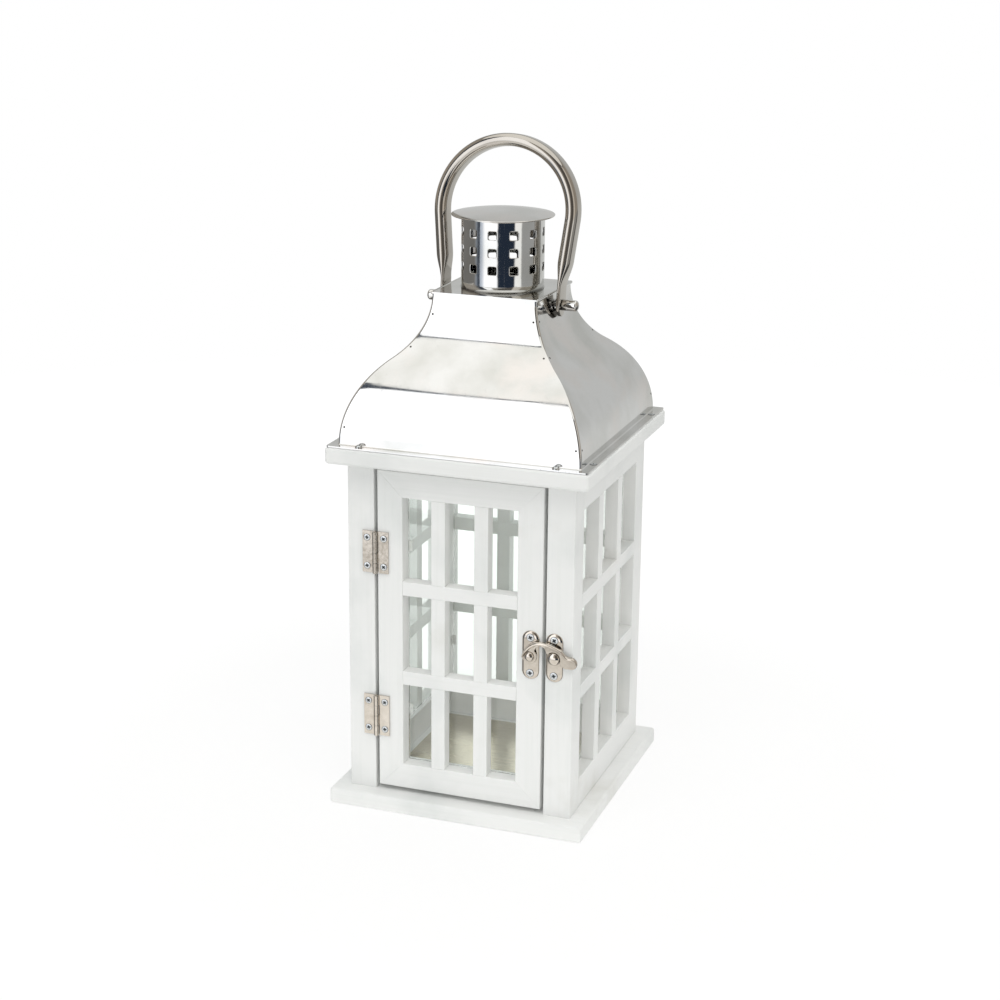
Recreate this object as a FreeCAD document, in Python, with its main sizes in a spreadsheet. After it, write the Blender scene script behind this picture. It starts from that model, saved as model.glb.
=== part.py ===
"""Hurricane candle lantern: white wooden body, glazed door and sides, polished metal roof and swing handle.

Millimetres. +Z is up, and the origin is the middle of the base board's underside. The door faces -Y,
hangs on the left (-X) and closes with a swing latch on the right (+X). The handle turns about X.
"""

import FreeCAD, Part
import math
import os
import Sketcher

DOCUMENT = FreeCAD.newDocument("Lantern")
SHEET = DOCUMENT.addObject("Spreadsheet::Sheet", "Sizes")
VECTOR = FreeCAD.Vector
X_AXIS = VECTOR(1, 0, 0)
Y_AXIS = VECTOR(0, 1, 0)
Z_AXIS = VECTOR(0, 0, 1)

# Driving dimensions: name, size in millimetres or degrees, what it measures.
DRIVING_SIZES = [
    ("board_overhang", 9.5, "how far both boards stand out past the posts"),
    ("board_thickness", 9.5, "thickness of both boards"),
    ("board_edge_round", 1.2, "rounding of the boards' edges"),
    ("vent_radius", 32, "hole in the top board that lets the warm air out"),
    ("body_width", 131, "side of the square body, post face to post face"),
    ("body_height", 191.5, "height between the two boards"),
    ("post_width", 15.5, "side of a square corner post"),
    ("rail_thickness", 12, "thickness of the side rails"),
    ("bar_width", 8, "face width of a glazing bar"),
    ("bar_thickness", 7.6, "depth of a glazing bar"),
    ("outer_light_height", 48, "height of the top and bottom rows of lights"),
    ("pane_thickness", 2, "thickness of a glass pane"),
    ("pane_clearance", 0.4, "room round a glass pane"),
    ("clip_width", 6, "height of a glass clip"),
    ("clip_leg", 2.4, "length of each leg of a glass clip"),
    ("clip_thickness", 0.6, "sheet thickness of a glass clip"),
    ("clip_inset", 30, "distance from a pane's end to the middle of its clip"),
    ("clip_clearance", 0.1, "gap between a clip and the glass"),
    ("floor_thickness", 0.8, "thickness of the metal floor plate"),
    ("floor_clearance", 0.5, "gap between the floor plate and the posts"),
    ("door_side_gap", 2, "gap between the door and each post"),
    ("door_end_gap", 2.8, "gap above and below the door"),
    ("door_member_width", 14.6, "face width of the door's stiles and rails"),
    ("door_thickness", 12, "thickness of the door's frame"),
    ("hinge_height", 24, "height of a hinge"),
    ("hinge_leaf_reach", 7.6, "from a hinge's axis to the edge of its leaf"),
    ("hinge_leaf_thickness", 0.9, "thickness of a hinge leaf"),
    ("hinge_axis_stand_off", 1.4, "from the wooden face to a hinge's axis"),
    ("hinge_screw_reach", 4.9, "from a hinge's axis to its screws"),
    ("hinge_screw_spacing", 16.3, "between the two screws of a leaf"),
    ("lower_hinge_inset", 45.2, "from the base board to the middle of the lower hinge"),
    ("upper_hinge_inset", 49.9, "from the top board to the middle of the upper hinge"),
    ("knuckle_radius", 1.5, "outside of a hinge knuckle"),
    ("knuckle_gap", 0.15, "gap between neighbouring knuckles"),
    ("hinge_pin_radius", 0.8, "radius of a hinge pin"),
    ("hinge_pin_overrun", 0.4, "length of pin that shows at each end of a hinge"),
    ("running_clearance", 0.05, "radial play of a pin in its hole"),
    ("screw_head_radius", 2, "radius of the small screws' heads"),
    ("screw_head_height", 0.35, "height of the small screws' domed heads"),
    ("screw_rim_height", 0.12, "straight rim below that dome"),
    ("screw_shank_radius", 1, "radius of the small screws' shanks"),
    ("screw_length", 7, "length of the small screws below the head"),
    ("screw_slot_length", 2.2, "length of the cross slot in a small screw"),
    ("screw_slot_width", 0.5, "width of that slot"),
    ("screw_slot_depth", 0.22, "depth of that slot"),
    ("screw_clearance", 0.05, "radial room round a screw in its hole"),
    ("screw_end_room", 0.3, "depth of a screw hole past the screw's end"),
    ("frame_screw_head_radius", 3.6, "heads of the screws that hold the posts"),
    ("frame_screw_head_height", 2.4, "height of those heads"),
    ("frame_screw_shank_radius", 1.8, "shanks of those screws"),
    ("frame_screw_length", 34, "length of those screws below the head"),
    ("frame_screw_recess", 0.8, "depth of their heads below the board's face"),
    ("latch_height", 93.7, "from the base board to the latch's pivot"),
    ("latch_plate_width", 9.8, "width of each latch plate"),
    ("latch_plate_height", 28, "height of each latch plate"),
    ("latch_plate_thickness", 1, "thickness of each latch plate"),
    ("latch_door_plate_inset", 1.5, "from the door's edge to its latch plate"),
    ("latch_post_plate_inset", 0.3, "from the post's edge to its latch plate"),
    ("latch_screw_spacing", 20.5, "between the two screws of a latch plate"),
    ("latch_arm_gap", 0.7, "gap between the arm and the plates"),
    ("latch_arm_thickness", 1.6, "thickness of the latch arm"),
    ("latch_arm_rise", 9.1, "height of the arm's arch above its pivot"),
    ("latch_eye_radius", 4.2, "round end of the arm about its pivot"),
    ("latch_window_radius", 3.3, "round top of the window under the arch"),
    ("latch_window_rise", 3.2, "from the pivot's level to the middle of that round"),
    ("latch_window_reach", 6.1, "from the pivot across to the middle of that round"),
    ("latch_shoulder_reach", 4.6, "from the stud across to where the arch bends into the finger"),
    ("latch_shoulder_rise", 6, "height of that shoulder above the stud"),
    ("latch_neck_reach", 8.2, "from the stud across to the foot of the shoulder's hollow"),
    ("latch_neck_radius", 8, "radius of that hollow"),
    ("latch_finger_reach", 10.1, "from the stud across to the middle of the finger's round tip"),
    ("latch_finger_radius", 3.5, "radius of the finger's round tip"),
    ("latch_finger_drop", 1.1, "from the stud down to the middle of that tip"),
    ("latch_finger_heel", 6.4, "from the stud across to the finger's lower corner"),
    ("stud_radius", 3.7, "radius of the catch stud"),
    ("stud_height", 2.6, "height of the catch stud above its plate"),
    ("stud_clearance", 0.3, "gap between the stud and the arm's hook"),
    ("rivet_radius", 1.5, "shank of the latch's rivet"),
    ("rivet_head_radius", 2.4, "domed head of the latch's rivet"),
    ("rivet_head_height", 1.2, "height of that dome"),
    ("rivet_play", 0.12, "gap between the arm and the rivet's head"),
    ("roof_height", 79.5, "from the top board to the roof's top plate"),
    ("flange_inset", 0.8, "from the top board's edge to the edge of the roof's flange"),
    ("neck_width", 60, "width of the roof at its top"),
    ("neck_radius", 42, "radius of the hollow upper curve of the roof"),
    ("sheet_thickness", 0.8, "thickness of the roof's metal sheet"),
    ("flange_width", 5, "flange that turns out at the roof's foot"),
    ("roof_screw_inset", 13.2, "from the roof's corners to its screws, along the flange"),
    ("chimney_radius", 22.9, "outside of the chimney"),
    ("chimney_height", 40.3, "height of the chimney above the top plate"),
    ("chimney_hole_size", 4.8, "side of a square hole in the chimney"),
    ("chimney_hole_round", 1, "rounding of that hole's corners"),
    ("chimney_hole_pitch", 9.55, "between rows of holes"),
    ("chimney_hole_start", 12.4, "from the top plate to the lowest row of holes"),
    ("chimney_hole_turn", 5, "turn of the holes about the chimney, in degrees"),
    ("cap_radius", 28.4, "radius of the chimney's cap"),
    ("cap_rise", 2.8, "rise of the cap's dome"),
    ("cap_seat_gap", 0.05, "gap between the chimney and its cap"),
    ("pivot_drop", 7, "from the roof's top plate down to the handle's pivot"),
    ("handle_bolt_radius", 2, "shank of the bolts that the handle turns on"),
    ("bolt_head_radius", 3.6, "heads of those bolts, inside the roof"),
    ("bolt_head_height", 2, "height of those heads"),
    ("bolt_seat_gap", 0.1, "gap between the bolts, spacers and roof sheet"),
    ("spacer_radius", 3.4, "spacers between the roof and the handle"),
    ("lug_play", 0.15, "side play of the handle between spacer and nut"),
    ("lug_roof_gap", 0.7, "gap between the handle's flat end and the roof"),
    ("lug_width", 12.6, "width of the handle's flat ends"),
    ("lug_thickness", 2, "thickness of the handle's flat ends"),
    ("lug_rise", 10, "from the pivot to where the flat end starts to swell"),
    ("press_length", 14, "length over which the tube is pressed flat"),
    ("nut_radius", 3, "radius of the domed nuts"),
    ("nut_length", 7.4, "length of the straight part of the nuts"),
    ("nut_dome", 1.8, "height of the nuts' domes"),
    ("nut_bore_depth", 3.6, "depth of the thread in the nuts"),
    ("arch_radius", 37.9, "radius of the handle's arch, at the tube's middle"),
    ("arch_rise", 49.5, "from the pivot to the centre of the arch"),
    ("handle_rest_lean", 8, "lean of the handle to the back where it stands, in degrees"),
    ("handle_tube_width", 13, "width of the handle's oval tube, front to back"),
    ("handle_tube_depth", 7, "depth of the handle's oval tube"),
]
CHIMNEY_COLUMNS = 12
CHIMNEY_ROWS = 3
KNUCKLES = 4

for row, (alias, amount, meaning) in enumerate(DRIVING_SIZES, start=1):
    SHEET.set(f"A{row}", meaning)
    SHEET.set(f"B{row}", str(amount))
    SHEET.setAlias(f"B{row}", alias)
DOCUMENT.recompute()

# Places that several pieces share, as formulas of the driving dimensions.
HALF_BODY = "(Sizes.body_width / 2)"
OPENING_HALF = f"({HALF_BODY} - Sizes.post_width)"
BOARD_HALF = f"({HALF_BODY} + Sizes.board_overhang)"
EAVES_HALF = f"({BOARD_HALF} - Sizes.flange_inset - Sizes.flange_width)"
BODY_FOOT = "Sizes.board_thickness"
BODY_TOP = "(Sizes.board_thickness + Sizes.body_height)"
RAIL_HEIGHT = "(Sizes.door_end_gap + Sizes.door_member_width)"
LIGHTS_FOOT = f"({BODY_FOOT} + {RAIL_HEIGHT})"
LIGHTS_TOP = f"({BODY_TOP} - {RAIL_HEIGHT})"
LOWER_BAR_FOOT = f"({LIGHTS_FOOT} + Sizes.outer_light_height)"
UPPER_BAR_FOOT = f"({LIGHTS_TOP} - Sizes.outer_light_height - Sizes.bar_width)"
DOOR_HALF = f"({OPENING_HALF} - Sizes.door_side_gap)"
DOOR_LIGHT_HALF = f"({DOOR_HALF} - Sizes.door_member_width)"
DOOR_FOOT = f"({BODY_FOOT} + Sizes.door_end_gap)"
DOOR_TOP = f"({BODY_TOP} - Sizes.door_end_gap)"
PANE_FACE = f"({HALF_BODY} - Sizes.bar_thickness)"
PANE_BACK = f"({PANE_FACE} - Sizes.pane_thickness)"
ROOF_FOOT = f"({BODY_TOP} + Sizes.board_thickness)"
ROOF_TOP = f"({ROOF_FOOT} + Sizes.roof_height)"
PLATE_TOP = f"({ROOF_TOP} + Sizes.sheet_thickness)"
CHIMNEY_TOP = f"({PLATE_TOP} + Sizes.chimney_height)"
PIVOT_HEIGHT = f"({ROOF_TOP} - Sizes.pivot_drop)"


def amount_of(formula):
    """Value of a formula of the driving dimensions, as a plain number."""
    return float(SHEET.evalExpression(formula))


def bind(item, settings):
    """Tie properties of an object to formulas of the driving dimensions."""
    for property_name, formula in settings.items():
        item.setExpression(property_name, formula)


def place(item, corner):
    """Tie an object's position to three formulas."""
    for letter, formula in zip("xyz", corner):
        item.setExpression(f"Placement.Base.{letter}", formula)


def block(name, low, high):
    """Rectangular block between two corners."""
    item = DOCUMENT.addObject("Part::Box", name)
    for side, start, end in zip(("Length", "Width", "Height"), low, high):
        item.setExpression(side, f"({end}) - ({start})")
    place(item, low)
    return item


def rod(name, radius, start, length, turn=None):
    """Cylinder that starts at a point and runs up, or the way that the turn sends it."""
    item = DOCUMENT.addObject("Part::Cylinder", name)
    bind(item, {"Radius": radius, "Height": length})
    if turn:
        item.Placement.Rotation = turn
    place(item, start)
    return item


def joined(name, pieces):
    """One solid made of pieces that overlap."""
    item = DOCUMENT.addObject("Part::MultiFuse", name)
    item.Shapes = pieces
    item.Refine = True
    return item


def grouped(name, pieces):
    """Separate solids kept together under one name."""
    item = DOCUMENT.addObject("Part::Compound", name)
    item.Links = pieces
    return item


def cut(name, base, tools):
    """The base with every tool taken away from it."""
    item = DOCUMENT.addObject("Part::Cut", name)
    item.Base = base
    item.Tool = tools[0] if len(tools) == 1 else grouped(name + "_tools", tools)
    return item


def copy_at(name, master, corner, turn=None):
    """Linked copy of a master piece at another place."""
    item = DOCUMENT.addObject("App::Link", name)
    item.LinkedObject = master
    item.LinkTransform = True
    if turn:
        item.Placement = FreeCAD.Placement(VECTOR(), turn)
    place(item, corner)
    return item


def new_body(name):
    """Empty body for a piece that is drawn and padded or turned."""
    return DOCUMENT.addObject("PartDesign::Body", name)


def origin_feature(body, role):
    """One of a body's own origin planes or axes."""
    return next(item for item in body.Origin.OriginFeatures if item.Role == role)


def new_sketch(body, name, plane, stand_off=None):
    """Empty sketch on an origin plane of the body, or a stand-off away along the plane's normal."""
    sketch = body.newObject("Sketcher::SketchObject", name)
    sketch.AttachmentSupport = [(origin_feature(body, plane), "")]
    sketch.MapMode = "FlatFace"
    if stand_off:
        sketch.setExpression("AttachmentOffset.Base.z", stand_off)
    return sketch


def fix_point(sketch, geometry, position, corner):
    """Tie one point of a sketch to two formulas, measured from the sketch's origin."""
    for kind, formula in zip(("DistanceX", "DistanceY"), corner):
        constraint = Sketcher.Constraint(kind, -1, 1, geometry, position, amount_of(formula))
        sketch.setExpression(f"Constraints[{sketch.addConstraint(constraint)}]", formula)


def fix_radius(sketch, geometry, formula):
    """Tie the radius of a circle or an arc of a sketch to a formula."""
    constraint = Sketcher.Constraint("Radius", geometry, amount_of(formula))
    sketch.setExpression(f"Constraints[{sketch.addConstraint(constraint)}]", formula)


def short_arc(start, end, radius, turn):
    """Arc of under a half circle from start to end that bends to the left or to the right."""
    middle = (start + end) * 0.5
    chord = end - start
    left = VECTOR(-chord.y, chord.x, 0).normalize()
    depth = math.sqrt(max(radius ** 2 - chord.Length ** 2 / 4, 0.0))
    centre = middle + left * (depth if turn == "left" else -depth)
    first, last = (start, end) if turn == "left" else (end, start)
    angles = [math.atan2(point.y - centre.y, point.x - centre.x) for point in (first, last)]
    if angles[1] < angles[0]:
        angles[1] += 2 * math.pi
    return Part.ArcOfCircle(Part.Circle(centre, Z_AXIS, radius), *angles)


def draw_outline(sketch, corners, arcs=None, closed=True):
    """Outline through corners given as formulas; arcs maps a side's number to (radius, turn)."""
    arcs = arcs or {}
    points = [VECTOR(amount_of(across), amount_of(up), 0) for across, up in corners]
    sides = len(points) if closed else len(points) - 1
    first = sketch.GeometryCount
    ends = []
    for side in range(sides):
        start, end = points[side], points[(side + 1) % len(points)]
        if side in arcs:
            radius, turn = arcs[side]
            sketch.addGeometry(short_arc(start, end, amount_of(radius), turn), False)
            ends.append((1, 2) if turn == "left" else (2, 1))
        else:
            sketch.addGeometry(Part.LineSegment(start, end), False)
            ends.append((1, 2))
    for side in range(sides if closed else sides - 1):
        after = (side + 1) % sides
        join = Sketcher.Constraint("Coincident", first + side, ends[side][1], first + after, ends[after][0])
        sketch.addConstraint(join)
    for side in range(sides):
        fix_point(sketch, first + side, ends[side][0], corners[side])
    if not closed:
        fix_point(sketch, first + sides - 1, ends[-1][1], corners[-1])
    for side, (radius, turn) in arcs.items():
        fix_radius(sketch, first + side, radius)


def draw_circle(sketch, centre, radius):
    """Circle whose centre and radius are formulas."""
    middle = VECTOR(amount_of(centre[0]), amount_of(centre[1]), 0)
    geometry = sketch.addGeometry(Part.Circle(middle, Z_AXIS, amount_of(radius)), False)
    fix_point(sketch, geometry, 3, centre)
    fix_radius(sketch, geometry, radius)


def draw_rectangle(sketch, low, high):
    """Rectangle between two corners given as formulas."""
    draw_outline(sketch, [low, (high[0], low[1]), high, (low[0], high[1])])


def draw_rounded(sketch, centre, half_across, half_up, radius):
    """Rectangle about a centre, with its corners rounded by quarter circles."""
    across, up = centre
    left, right = f"{across} - {half_across}", f"{across} + {half_across}"
    foot, top = f"{up} - {half_up}", f"{up} + {half_up}"
    corners = [
        (f"{left} + {radius}", foot), (f"{right} - {radius}", foot),
        (right, f"{foot} + {radius}"), (right, f"{top} - {radius}"),
        (f"{right} - {radius}", top), (f"{left} + {radius}", top),
        (left, f"{top} - {radius}"), (left, f"{foot} + {radius}"),
    ]
    draw_outline(sketch, corners, {side: (radius, "left") for side in (1, 3, 5, 7)})


def draw_stadium(sketch, centre, half_across, half_up):
    """Long round-ended plate outline, taller than it is wide."""
    across, up = centre
    straight = f"({half_up} - {half_across})"
    corners = [
        (f"{across} - {half_across}", f"{up} - {straight}"), (across, f"{up} - {half_up}"),
        (f"{across} + {half_across}", f"{up} - {straight}"),
        (f"{across} + {half_across}", f"{up} + {straight}"),
        (across, f"{up} + {half_up}"), (f"{across} - {half_across}", f"{up} + {straight}"),
    ]
    draw_outline(sketch, corners, {side: (half_across, "left") for side in (0, 1, 3, 4)})


def pad(body, sketch, length, backwards=False, both_ways=False):
    """Solid padded from a sketch."""
    feature = body.newObject("PartDesign::Pad", sketch.Name + "_pad")
    feature.Profile = sketch
    feature.setExpression("Length", length)
    feature.Reversed = backwards
    if both_ways:
        feature.SideType = "Symmetric"
    return feature


def pocket(body, sketch, length=None, backwards=False):
    """Pocket cut from a sketch: right through, or to a depth."""
    feature = body.newObject("PartDesign::Pocket", sketch.Name + "_pocket")
    feature.Profile = sketch
    feature.Reversed = backwards
    if length:
        feature.setExpression("Length", length)
    else:
        feature.Type = "ThroughAll"
    return feature


def turned(body, sketch):
    """Solid turned from a half section about the upright axis of its sketch."""
    feature = body.newObject("PartDesign::Revolution", sketch.Name + "_turned")
    feature.Profile = sketch
    feature.ReferenceAxis = (sketch, ["V_Axis"])
    feature.Angle = 360
    return feature


TO_FRONT = FreeCAD.Rotation(X_AXIS, 90)
TO_RIGHT = FreeCAD.Rotation(Y_AXIS, 90)
UPSIDE_DOWN = FreeCAD.Rotation(X_AXIS, 180)
NODES = {}


def keep(name, item):
    """Give a finished piece its name."""
    item.Label = name
    NODES[name] = item


# Small cross-slot screw, head up, with the seat of its head at its origin.
screw = new_body("small_screw")
section = new_sketch(screw, "small_screw_section", "XZ_Plane")
DOME_HEIGHT = "(Sizes.screw_head_height - Sizes.screw_rim_height)"
DOME_RADIUS = f"((Sizes.screw_head_radius ^ 2 + {DOME_HEIGHT} ^ 2) / (2 * {DOME_HEIGHT}))"
draw_outline(section, [
    ("0", "-Sizes.screw_length"),
    ("Sizes.screw_shank_radius", "-Sizes.screw_length"),
    ("Sizes.screw_shank_radius", "0"),
    ("Sizes.screw_head_radius", "0"),
    ("Sizes.screw_head_radius", "Sizes.screw_rim_height"),
    ("0", "Sizes.screw_head_height"),
], {4: (DOME_RADIUS, "left")})
turned(screw, section)
slot = new_sketch(screw, "small_screw_slot", "XY_Plane", "Sizes.screw_head_height")
SLOT_LONG = "(Sizes.screw_slot_length / 2)"
SLOT_SHORT = "(Sizes.screw_slot_width / 2)"
cross = []
for ahead, side in ((1, 1), (-1, 1), (-1, -1), (1, -1)):
    arm_long = (f"{ahead} * {SLOT_LONG}", f"{side} * {SLOT_SHORT}")
    inner = (f"{ahead} * {SLOT_SHORT}", f"{side} * {SLOT_SHORT}")
    arm_short = (f"{ahead} * {SLOT_SHORT}", f"{side} * {SLOT_LONG}")
    cross += [arm_long, inner, arm_short] if ahead == side else [arm_short, inner, arm_long]
draw_outline(slot, cross)
pocket(screw, slot, "Sizes.screw_slot_depth")
screw_hole = rod(
    "small_screw_hole", "Sizes.screw_shank_radius + Sizes.screw_clearance",
    ("0", "0", "-Sizes.screw_length - Sizes.screw_end_room"),
    "Sizes.screw_length + Sizes.screw_end_room + Sizes.screw_head_height",
)

# Where every small screw sits: its node, the seat of its head and the turn of its axis.
HINGE_AXIS_X = f"(-{OPENING_HALF} + Sizes.door_side_gap / 2)"
HINGE_AXIS_Y = f"(-{HALF_BODY} - Sizes.hinge_axis_stand_off)"
HINGE_HEIGHTS = {
    "lower": f"({BODY_FOOT} + Sizes.lower_hinge_inset)",
    "upper": f"({BODY_TOP} - Sizes.upper_hinge_inset)",
}
LEAF_FACE = f"(-{HALF_BODY} - Sizes.hinge_leaf_thickness)"
LATCH_FACE = f"(-{HALF_BODY} - Sizes.latch_plate_thickness)"
LATCH_Z = f"({BODY_FOOT} + Sizes.latch_height)"
LATCH_DOOR_X = f"({DOOR_HALF} - Sizes.latch_door_plate_inset - Sizes.latch_plate_width / 2)"
LATCH_POST_X = f"({OPENING_HALF} + Sizes.latch_post_plate_inset + Sizes.latch_plate_width / 2)"
FLANGE_SCREW_REACH = f"({EAVES_HALF} + Sizes.flange_width / 2)"
FLANGE_FACE = f"({ROOF_FOOT} + Sizes.sheet_thickness)"
screw_seats = []
for height in HINGE_HEIGHTS.values():
    for end in (-1, 1):
        screw_z = f"{height} + {end} * Sizes.hinge_screw_spacing / 2"
        post_x = f"{HINGE_AXIS_X} - Sizes.hinge_screw_reach"
        door_x = f"{HINGE_AXIS_X} + Sizes.hinge_screw_reach"
        screw_seats.append(("hinge_post_screws", (post_x, LEAF_FACE, screw_z), TO_FRONT))
        screw_seats.append(("hinge_door_screws", (door_x, LEAF_FACE, screw_z), TO_FRONT))
for end in (-1, 1):
    screw_z = f"{LATCH_Z} + {end} * Sizes.latch_screw_spacing / 2"
    screw_seats.append(("latch_door_screws", (LATCH_DOOR_X, LATCH_FACE, screw_z), TO_FRONT))
    screw_seats.append(("latch_post_screws", (LATCH_POST_X, LATCH_FACE, screw_z), TO_FRONT))
for side in (-1, 1):
    for end in (-1, 1):
        along = f"{end} * ({EAVES_HALF} - Sizes.roof_screw_inset)"
        out = f"{side} * {FLANGE_SCREW_REACH}"
        screw_seats.append(("roof_screws", (along, out, FLANGE_FACE), None))
        screw_seats.append(("roof_screws", (out, along, FLANGE_FACE), None))

screw_groups = {}
hole_groups = {}
for number, (node, seat, turn) in enumerate(screw_seats):
    screw_groups.setdefault(node, []).append(copy_at(f"{node}_{number}", screw, seat, turn))
    hole_groups.setdefault(node, []).append(copy_at(f"{node}_hole_{number}", screw_hole, seat, turn))
for node, members in screw_groups.items():
    keep(node, grouped(node, members))

# Frame screws: one through each board into each end of each post, heads sunk below the board's face.
frame_screw = joined("frame_screw", [
    rod("frame_screw_head", "Sizes.frame_screw_head_radius", ("0", "0", "0"),
        "Sizes.frame_screw_head_height"),
    rod("frame_screw_shank", "Sizes.frame_screw_shank_radius", ("0", "0", "0"),
        "Sizes.frame_screw_head_height + Sizes.frame_screw_length"),
])
frame_hole = joined("frame_hole", [
    rod("frame_hole_head", "Sizes.frame_screw_head_radius + Sizes.screw_clearance",
        ("0", "0", "-2 * Sizes.frame_screw_recess"),
        "Sizes.frame_screw_head_height + 2 * Sizes.frame_screw_recess"),
    rod("frame_hole_shank", "Sizes.frame_screw_shank_radius + Sizes.screw_clearance", ("0", "0", "0"),
        "Sizes.frame_screw_head_height + Sizes.frame_screw_length + Sizes.screw_end_room"),
])
POST_MIDDLE = f"({HALF_BODY} - Sizes.post_width / 2)"
FRAME_SCREW_ENDS = {
    "base_screws": ("Sizes.frame_screw_recess", None),
    "top_screws": (f"{ROOF_FOOT} - Sizes.frame_screw_recess", UPSIDE_DOWN),
}
frame_holes = {}
for node, (seat, turn) in FRAME_SCREW_ENDS.items():
    screws = []
    frame_holes[node] = []
    for across in (-1, 1):
        for along in (-1, 1):
            spot = (f"{across} * {POST_MIDDLE}", f"{along} * {POST_MIDDLE}", seat)
            screws.append(copy_at(f"{node}_copy_{across}_{along}", frame_screw, spot, turn))
            frame_holes[node].append(copy_at(f"{node}_hole_{across}_{along}", frame_hole, spot, turn))
    keep(node, grouped(node, screws))


def board(name, foot, hole_radius, holes):
    """Square board with rounded edges, an optional round hole in the middle, and its screw holes."""
    body = new_body(name + "_blank")
    sketch = new_sketch(body, name + "_outline", "XY_Plane", foot)
    draw_rectangle(sketch, (f"-{BOARD_HALF}", f"-{BOARD_HALF}"), (BOARD_HALF, BOARD_HALF))
    if hole_radius:
        draw_circle(sketch, ("0", "0"), hole_radius)
    slab = pad(body, sketch, "Sizes.board_thickness")
    DOCUMENT.recompute()
    straight = [f"Edge{number}" for number, edge in enumerate(slab.Shape.Edges, start=1)
                if isinstance(edge.Curve, Part.Line)]
    rounding = body.newObject("PartDesign::Fillet", name + "_rounding")
    rounding.Base = (slab, straight)
    rounding.setExpression("Radius", "Sizes.board_edge_round")
    keep(name, cut(name, body, holes))


board("base_board", None, None, frame_holes["base_screws"])
board("top_board", BODY_TOP, "Sizes.vent_radius", frame_holes["top_screws"] + hole_groups["roof_screws"])

# Bright metal floor plate that lies on the base board between the posts.
FLOOR_HALF = f"({OPENING_HALF} - Sizes.floor_clearance)"
keep("floor_plate", block(
    "floor_plate", (f"-{FLOOR_HALF}", f"-{FLOOR_HALF}", BODY_FOOT),
    (FLOOR_HALF, FLOOR_HALF, f"{BODY_FOOT} + Sizes.floor_thickness"),
))

# Four corner posts between the boards, drilled for the screws that reach them.
POST_HOLES = {
    "front_left": hole_groups["hinge_post_screws"],
    "front_right": hole_groups["latch_post_screws"],
    "back_left": [],
    "back_right": [],
}
for corner, face_holes in POST_HOLES.items():
    depth_side, cross_side = corner.split("_")
    low_x = f"-{HALF_BODY}" if cross_side == "left" else OPENING_HALF
    low_y = f"-{HALF_BODY}" if depth_side == "front" else OPENING_HALF
    blank = block(
        f"{corner}_post_blank", (low_x, low_y, BODY_FOOT),
        (f"{low_x} + Sizes.post_width", f"{low_y} + Sizes.post_width", BODY_TOP),
    )
    keep(f"{corner}_post", cut(
        f"{corner}_post", blank, frame_holes["base_screws"] + frame_holes["top_screws"] + face_holes,
    ))


def glazing_bars(name, half_across):
    """Two uprights and two crossbars, half lapped, that face -Y: the crossbars show in front."""
    face = f"-{HALF_BODY}"
    back = f"-{PANE_FACE}"
    middle = f"(-{HALF_BODY} + Sizes.bar_thickness / 2)"
    light = f"((2 * {half_across} - 2 * Sizes.bar_width) / 3)"
    starts = [f"(-{half_across} + {light})", f"({half_across} - {light} - Sizes.bar_width)"]
    feet = [LOWER_BAR_FOOT, UPPER_BAR_FOOT]
    upright_cuts = []
    crossbar_cuts = []
    for number, foot in enumerate(feet):
        upright_cuts.append(block(
            f"{name}_upright_notch_{number}", (f"-{half_across}", face, foot),
            (half_across, middle, f"{foot} + Sizes.bar_width"),
        ))
    for number, start in enumerate(starts):
        crossbar_cuts.append(block(
            f"{name}_crossbar_notch_{number}", (start, middle, LIGHTS_FOOT),
            (f"{start} + Sizes.bar_width", back, LIGHTS_TOP),
        ))
    uprights = []
    crossbars = []
    for number, start in enumerate(starts):
        blank = block(
            f"{name}_upright_blank_{number}", (start, face, LIGHTS_FOOT),
            (f"{start} + Sizes.bar_width", back, LIGHTS_TOP),
        )
        uprights.append(cut(f"{name}_upright_{number}", blank, upright_cuts))
    for number, foot in enumerate(feet):
        blank = block(
            f"{name}_crossbar_blank_{number}", (f"-{half_across}", face, foot),
            (half_across, back, f"{foot} + Sizes.bar_width"),
        )
        crossbars.append(cut(f"{name}_crossbar_{number}", blank, crossbar_cuts))
    return grouped(f"{name}_upright_pair", uprights), grouped(f"{name}_crossbar_pair", crossbars)


def glass_pane(name, half_across):
    """Pane that faces -Y, stands on the rail below it and lies against the backs of the bars."""
    half = f"({half_across} - Sizes.pane_clearance)"
    return block(
        name, (f"-{half}", f"-{PANE_FACE}", LIGHTS_FOOT),
        (half, f"-{PANE_BACK}", f"{LIGHTS_TOP} - Sizes.pane_clearance"),
    )


def glass_clips(name, half_across):
    """Four bent clips behind a pane that faces -Y: one leg on the jamb, one leg over the glass."""
    clips = []
    face = f"(-{PANE_BACK} + Sizes.clip_clearance)"
    for end, middle in enumerate((f"{LIGHTS_FOOT} + Sizes.clip_inset", f"{LIGHTS_TOP} - Sizes.clip_inset")):
        foot = f"{middle} - Sizes.clip_width / 2"
        top = f"{middle} + Sizes.clip_width / 2"
        left_legs = [
            block(f"{name}_jamb_leg_{end}", (f"-{half_across}", face, foot),
                  (f"-{half_across} + Sizes.clip_thickness", f"{face} + Sizes.clip_leg", top)),
            block(f"{name}_glass_leg_{end}", (f"-{half_across}", face, foot),
                  (f"-{half_across} + Sizes.clip_leg", f"{face} + Sizes.clip_thickness", top)),
        ]
        right_legs = [
            block(f"{name}_right_jamb_leg_{end}", (f"{half_across} - Sizes.clip_thickness", face, foot),
                  (half_across, f"{face} + Sizes.clip_leg", top)),
            block(f"{name}_right_glass_leg_{end}", (f"{half_across} - Sizes.clip_leg", face, foot),
                  (half_across, f"{face} + Sizes.clip_thickness", top)),
        ]
        clips.append(joined(f"{name}_left_clip_{end}", left_legs))
        clips.append(joined(f"{name}_right_clip_{end}", right_legs))
    return grouped(name, clips)


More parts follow.
